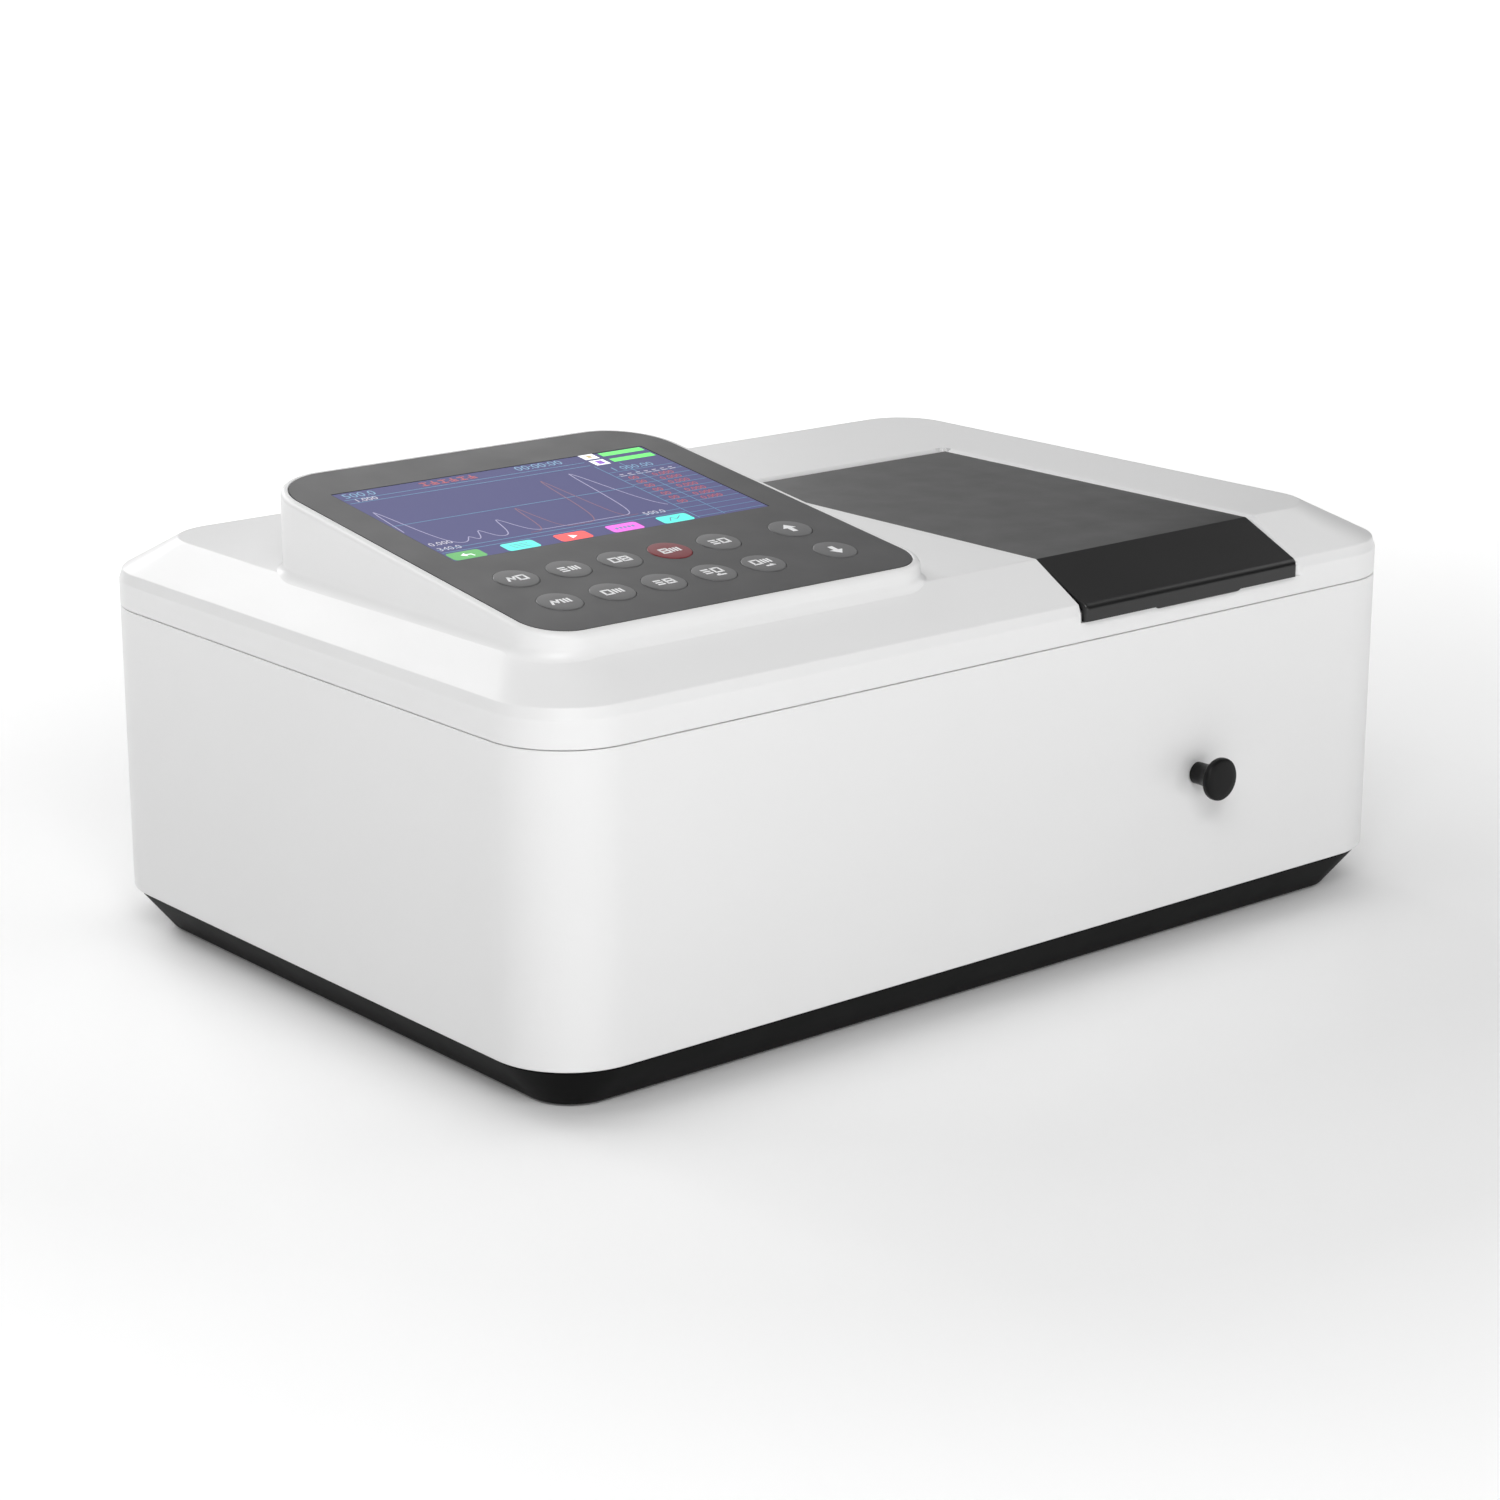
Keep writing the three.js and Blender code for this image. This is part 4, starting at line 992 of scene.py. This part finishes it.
def draw_soft_keys(bright):
    """Five coloured keys along the lower edge of the picture, with plain signs on them."""
    green = glowing("display_deep_green", (0.07, 0.42, 0.08), 0.6)
    turquoise = glowing("display_turquoise", (0.06, 0.75, 0.65), 0.8)
    red = glowing("display_bright_red", (0.85, 0.05, 0.05), 0.8)
    magenta = glowing("display_magenta", (0.72, 0.10, 0.65), 0.8)
    dark = glowing("display_sign", (0.10, 0.32, 0.55), 0.35)
    v, half, tall = SOFT_KEY["centre"], SOFT_KEY["width"] / 2, SOFT_KEY["height"] / 2
    finishes = {"back": green, "list": turquoise, "run": red, "clear": magenta, "chart": turquoise}
    centres = {name: SOFT_KEY["first"] + i * SOFT_KEY["pitch"] for i, name in enumerate(finishes)}
    for name, finish in finishes.items():
        low, high = at(centres[name] - half, v - tall), at(centres[name] + half, v + tall)
        shape = outline(low[0], high[0], low[1], high[1], mm(SOFT_KEY["corner"]), 5)
        draw(f"soft_key_{name}", [shape], finish, 1)

    back, run, chart = centres["back"], centres["run"], centres["chart"]
    signs = [[at(back - 2.6, v + 0.2), at(back - 0.2, v - 1.5), at(back - 0.2, v + 1.9)],
             [at(run - 1.4, v - 1.9), at(run + 2.0, v), at(run - 1.4, v + 1.9)]]
    signs += line_of((back - 0.4, v + 0.2), (back + 2.0, v), (back + 2.6, v - 1.6), thick=0.7)
    draw("soft_key_signs", signs, bright, 2)
    lines = [box_at(centres["list"], v + k * 1.5, 8.4, 0.35) for k in (-1, 0, 1)]
    lines += [box_at(centres["clear"] + k * 2, v, 1.2, 1.6) for k in (-2, -1, 0, 1, 2)]
    lines += line_of((chart - 3.5, v - 1.6), (chart - 1.4, v + 1.4), (chart + 0.6, v - 0.6),
                     (chart + 3.5, v + 1.8), thick=0.5)
    draw("soft_key_lines", lines, dark, 2)


def make_display():
    make_glass()
    draw_plot()
    draw_table()
    draw_soft_keys(draw_status())


# -------- knob and carried-over CAD pieces

def make_knob():
    """A turned knob: a short stem that flares into a flat head with rounded edges."""
    low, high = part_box("pull_knob")
    middle, length, head = (low + high) / 2, high.y - low.y, (high.x - low.x) / 2
    stem, neck, shoulder, rim = mm(4.6), mm(3), mm(11.3), head - mm(0.35)
    profile = [(stem - mm(0.3), 0), (stem, mm(0.3)), (stem, neck)]
    steps = 14
    for share in (step / steps for step in range(1, steps + 1)):
        profile.append((stem + (rim - stem) * share ** 2.6, neck + (shoulder - neck) * share))
    edge = length - mm(0.2)
    profile += [(head - mm(0.08), mm(11.75)), (head, mm(12.1)), (head, edge - mm(1.0)),
                (head - mm(0.1), edge - mm(0.55)), (head - mm(0.4), edge - mm(0.2)),
                (head - mm(0.9), edge), (head * 0.6, edge + mm(0.12)), (head * 0.25, length),
                (mm(0.1), length)]
    foot = (middle.x, high.y, middle.z)
    knob = turned("pull_knob_moulding", profile, foot, (0, -1, 0), KNOB, 96)
    bore = [(mm(3.3), mm(-2)), (mm(3.3), mm(6.8))]
    combine(knob, turned("bore", bore, foot, (0, -1, 0), None, 32))
    shade(knob, 40)
    place(knob, "cell_changer", "knob_black", "pull_knob")


FINISHES = {
    "shell_white": SHELL, "plinth_black": PLINTH, "lid_grey": LID, "knob_black": KNOB,
    "overlay_grey": OVERLAY, "key_grey": KEY, "key_red": KEY_RED, "board_green": BOARD,
    "rubber_black": RUBBER, "steel": STEEL, "aluminium": ALUMINIUM, "anodised_black": ANODISED,
    "ceramic": CERAMIC, "lamp_glass": GLASS, "mirror": MIRROR, "filter_amber": AMBER,
    "socket_black": SOCKET, "nylon": NYLON,
}


def dress_frame():
    """Gives every shown CAD node its finish, soft edges and smooth shading."""
    for name, node in frame["nodes"].items():
        if node.hide_render:
            continue
        finish = FINISHES[slot_of_node[name]]
        if node.data.materials:
            node.data.materials[0] = finish
        else:
            node.data.materials.append(finish)
        node.data.polygons.foreach_set("use_smooth", [True] * len(node.data.polygons))
        node.modifiers.new("weld", "WELD").merge_threshold = 2e-6
        add_bevel(node, mm(0.25), 32)
        weigh_normals(node, 80, keep_sharp=False)


# -------- stage, light and camera

def make_stage():
    """A pale floor that grows lighter with distance, so that it meets the white surroundings."""
    size = 30.0
    corners = [(-size, -size, 0), (size, -size, 0), (size, size, 0), (-size, size, 0)]
    made, tree, shader = new_material("pale_floor", (0.93, 0.93, 0.93), 0.6)
    tint(tree, noise(tree, 0.5), (0.925, 0.925, 0.925), (0.935, 0.935, 0.935),
         shader.inputs["Base Color"])
    shader.inputs["Emission Color"].default_value = (1, 1, 1, 1)
    coordinates = add_node(tree, "ShaderNodeTexCoord")
    far = add_node(tree, "ShaderNodeVectorMath", operation="LENGTH")
    fade = add_node(tree, "ShaderNodeMapRange", From_Min=0.4, From_Max=1.9, To_Min=0.06, To_Max=0.9)
    tree.links.new(coordinates.outputs["Object"], far.inputs[0])
    tree.links.new(far.outputs["Value"], fade.inputs["Value"])
    tree.links.new(fade.outputs["Result"], shader.inputs["Emission Strength"])
    make_object("floor", corners, [(0, 1, 2, 3)], made)


def area_light(name, heading, height, size, power, distance=3.0):
    """A soft panel looking at the object; heading 0 is in front and 90 to the right, in degrees."""
    target = Vector((0, 0, 0.08))
    turn, up = math.radians(heading), math.radians(height)
    away = Vector((math.sin(turn) * math.cos(up), -math.cos(turn) * math.cos(up), math.sin(up)))
    data = bpy.data.lights.new(name, "AREA")
    data.shape = "RECTANGLE"
    data.size, data.size_y = size
    data.energy = power
    made = bpy.data.objects.new(name, data)
    made.location = target + away * distance
    made.rotation_euler = (-away).to_track_quat("-Z", "Y").to_euler()
    bpy.context.scene.collection.objects.link(made)


def make_light():
    """White surroundings that brighten towards the zenith, and soft panels all round."""
    world = bpy.data.worlds.new("studio")
    world.use_nodes = True
    tree = world.node_tree
    background = tree.nodes["Background"]
    background.inputs["Color"].default_value = (1, 1, 1, 1)
    coordinates = add_node(tree, "ShaderNodeTexCoord")
    parts = add_node(tree, "ShaderNodeSeparateXYZ")
    tree.links.new(coordinates.outputs["Generated"], parts.inputs[0])
    height = parts.outputs["Z"]
    for operation, number in (("MAXIMUM", 0), ("POWER", 2), ("MULTIPLY", 0.55)):
        step = add_node(tree, "ShaderNodeMath", operation=operation)
        step.inputs[1].default_value = number
        tree.links.new(height, step.inputs[0])
        height = step.outputs[0]
    tree.links.new(height, background.inputs["Strength"])
    bpy.context.scene.world = world
    area_light("key_front_left", -38, 38, (1.6, 1.0), 39)
    area_light("fill_front", 0, 6, (2.4, 0.8), 15)
    area_light("fill_left", -80, 50, (1.6, 1.0), 5)
    area_light("fill_right", 80, 30, (1.6, 1.2), 10)
    area_light("rim_back_left", -150, 40, (1.6, 1.0), 15)
    area_light("rim_back", 180, 24, (1.6, 1.2), 25)
    area_light("sheen_back", 155, 22, (1.5, 1.2), 5)
    area_light("sheen_back_right", 140, 22, (1.2, 1.2), 2.9)


def make_camera():
    data = bpy.data.cameras.new("camera")
    data.lens = CAMERA["lens"]
    data.sensor_width = 36
    data.clip_start, data.clip_end = 0.05, 100
    made = bpy.data.objects.new("camera", data)
    made.location = CAMERA["place"]
    made.rotation_euler = [math.radians(angle) for angle in CAMERA["turn"]]
    bpy.context.scene.collection.objects.link(made)
    bpy.context.scene.camera = made


make_camera()
make_plinth()
make_case()
make_cover()
make_lid()
make_tab()
make_pod()
make_overlay()
make_keys()
make_display()
make_knob()
dress_frame()
make_stage()
make_light()
bpy.context.scene.view_settings.view_transform = "Standard"
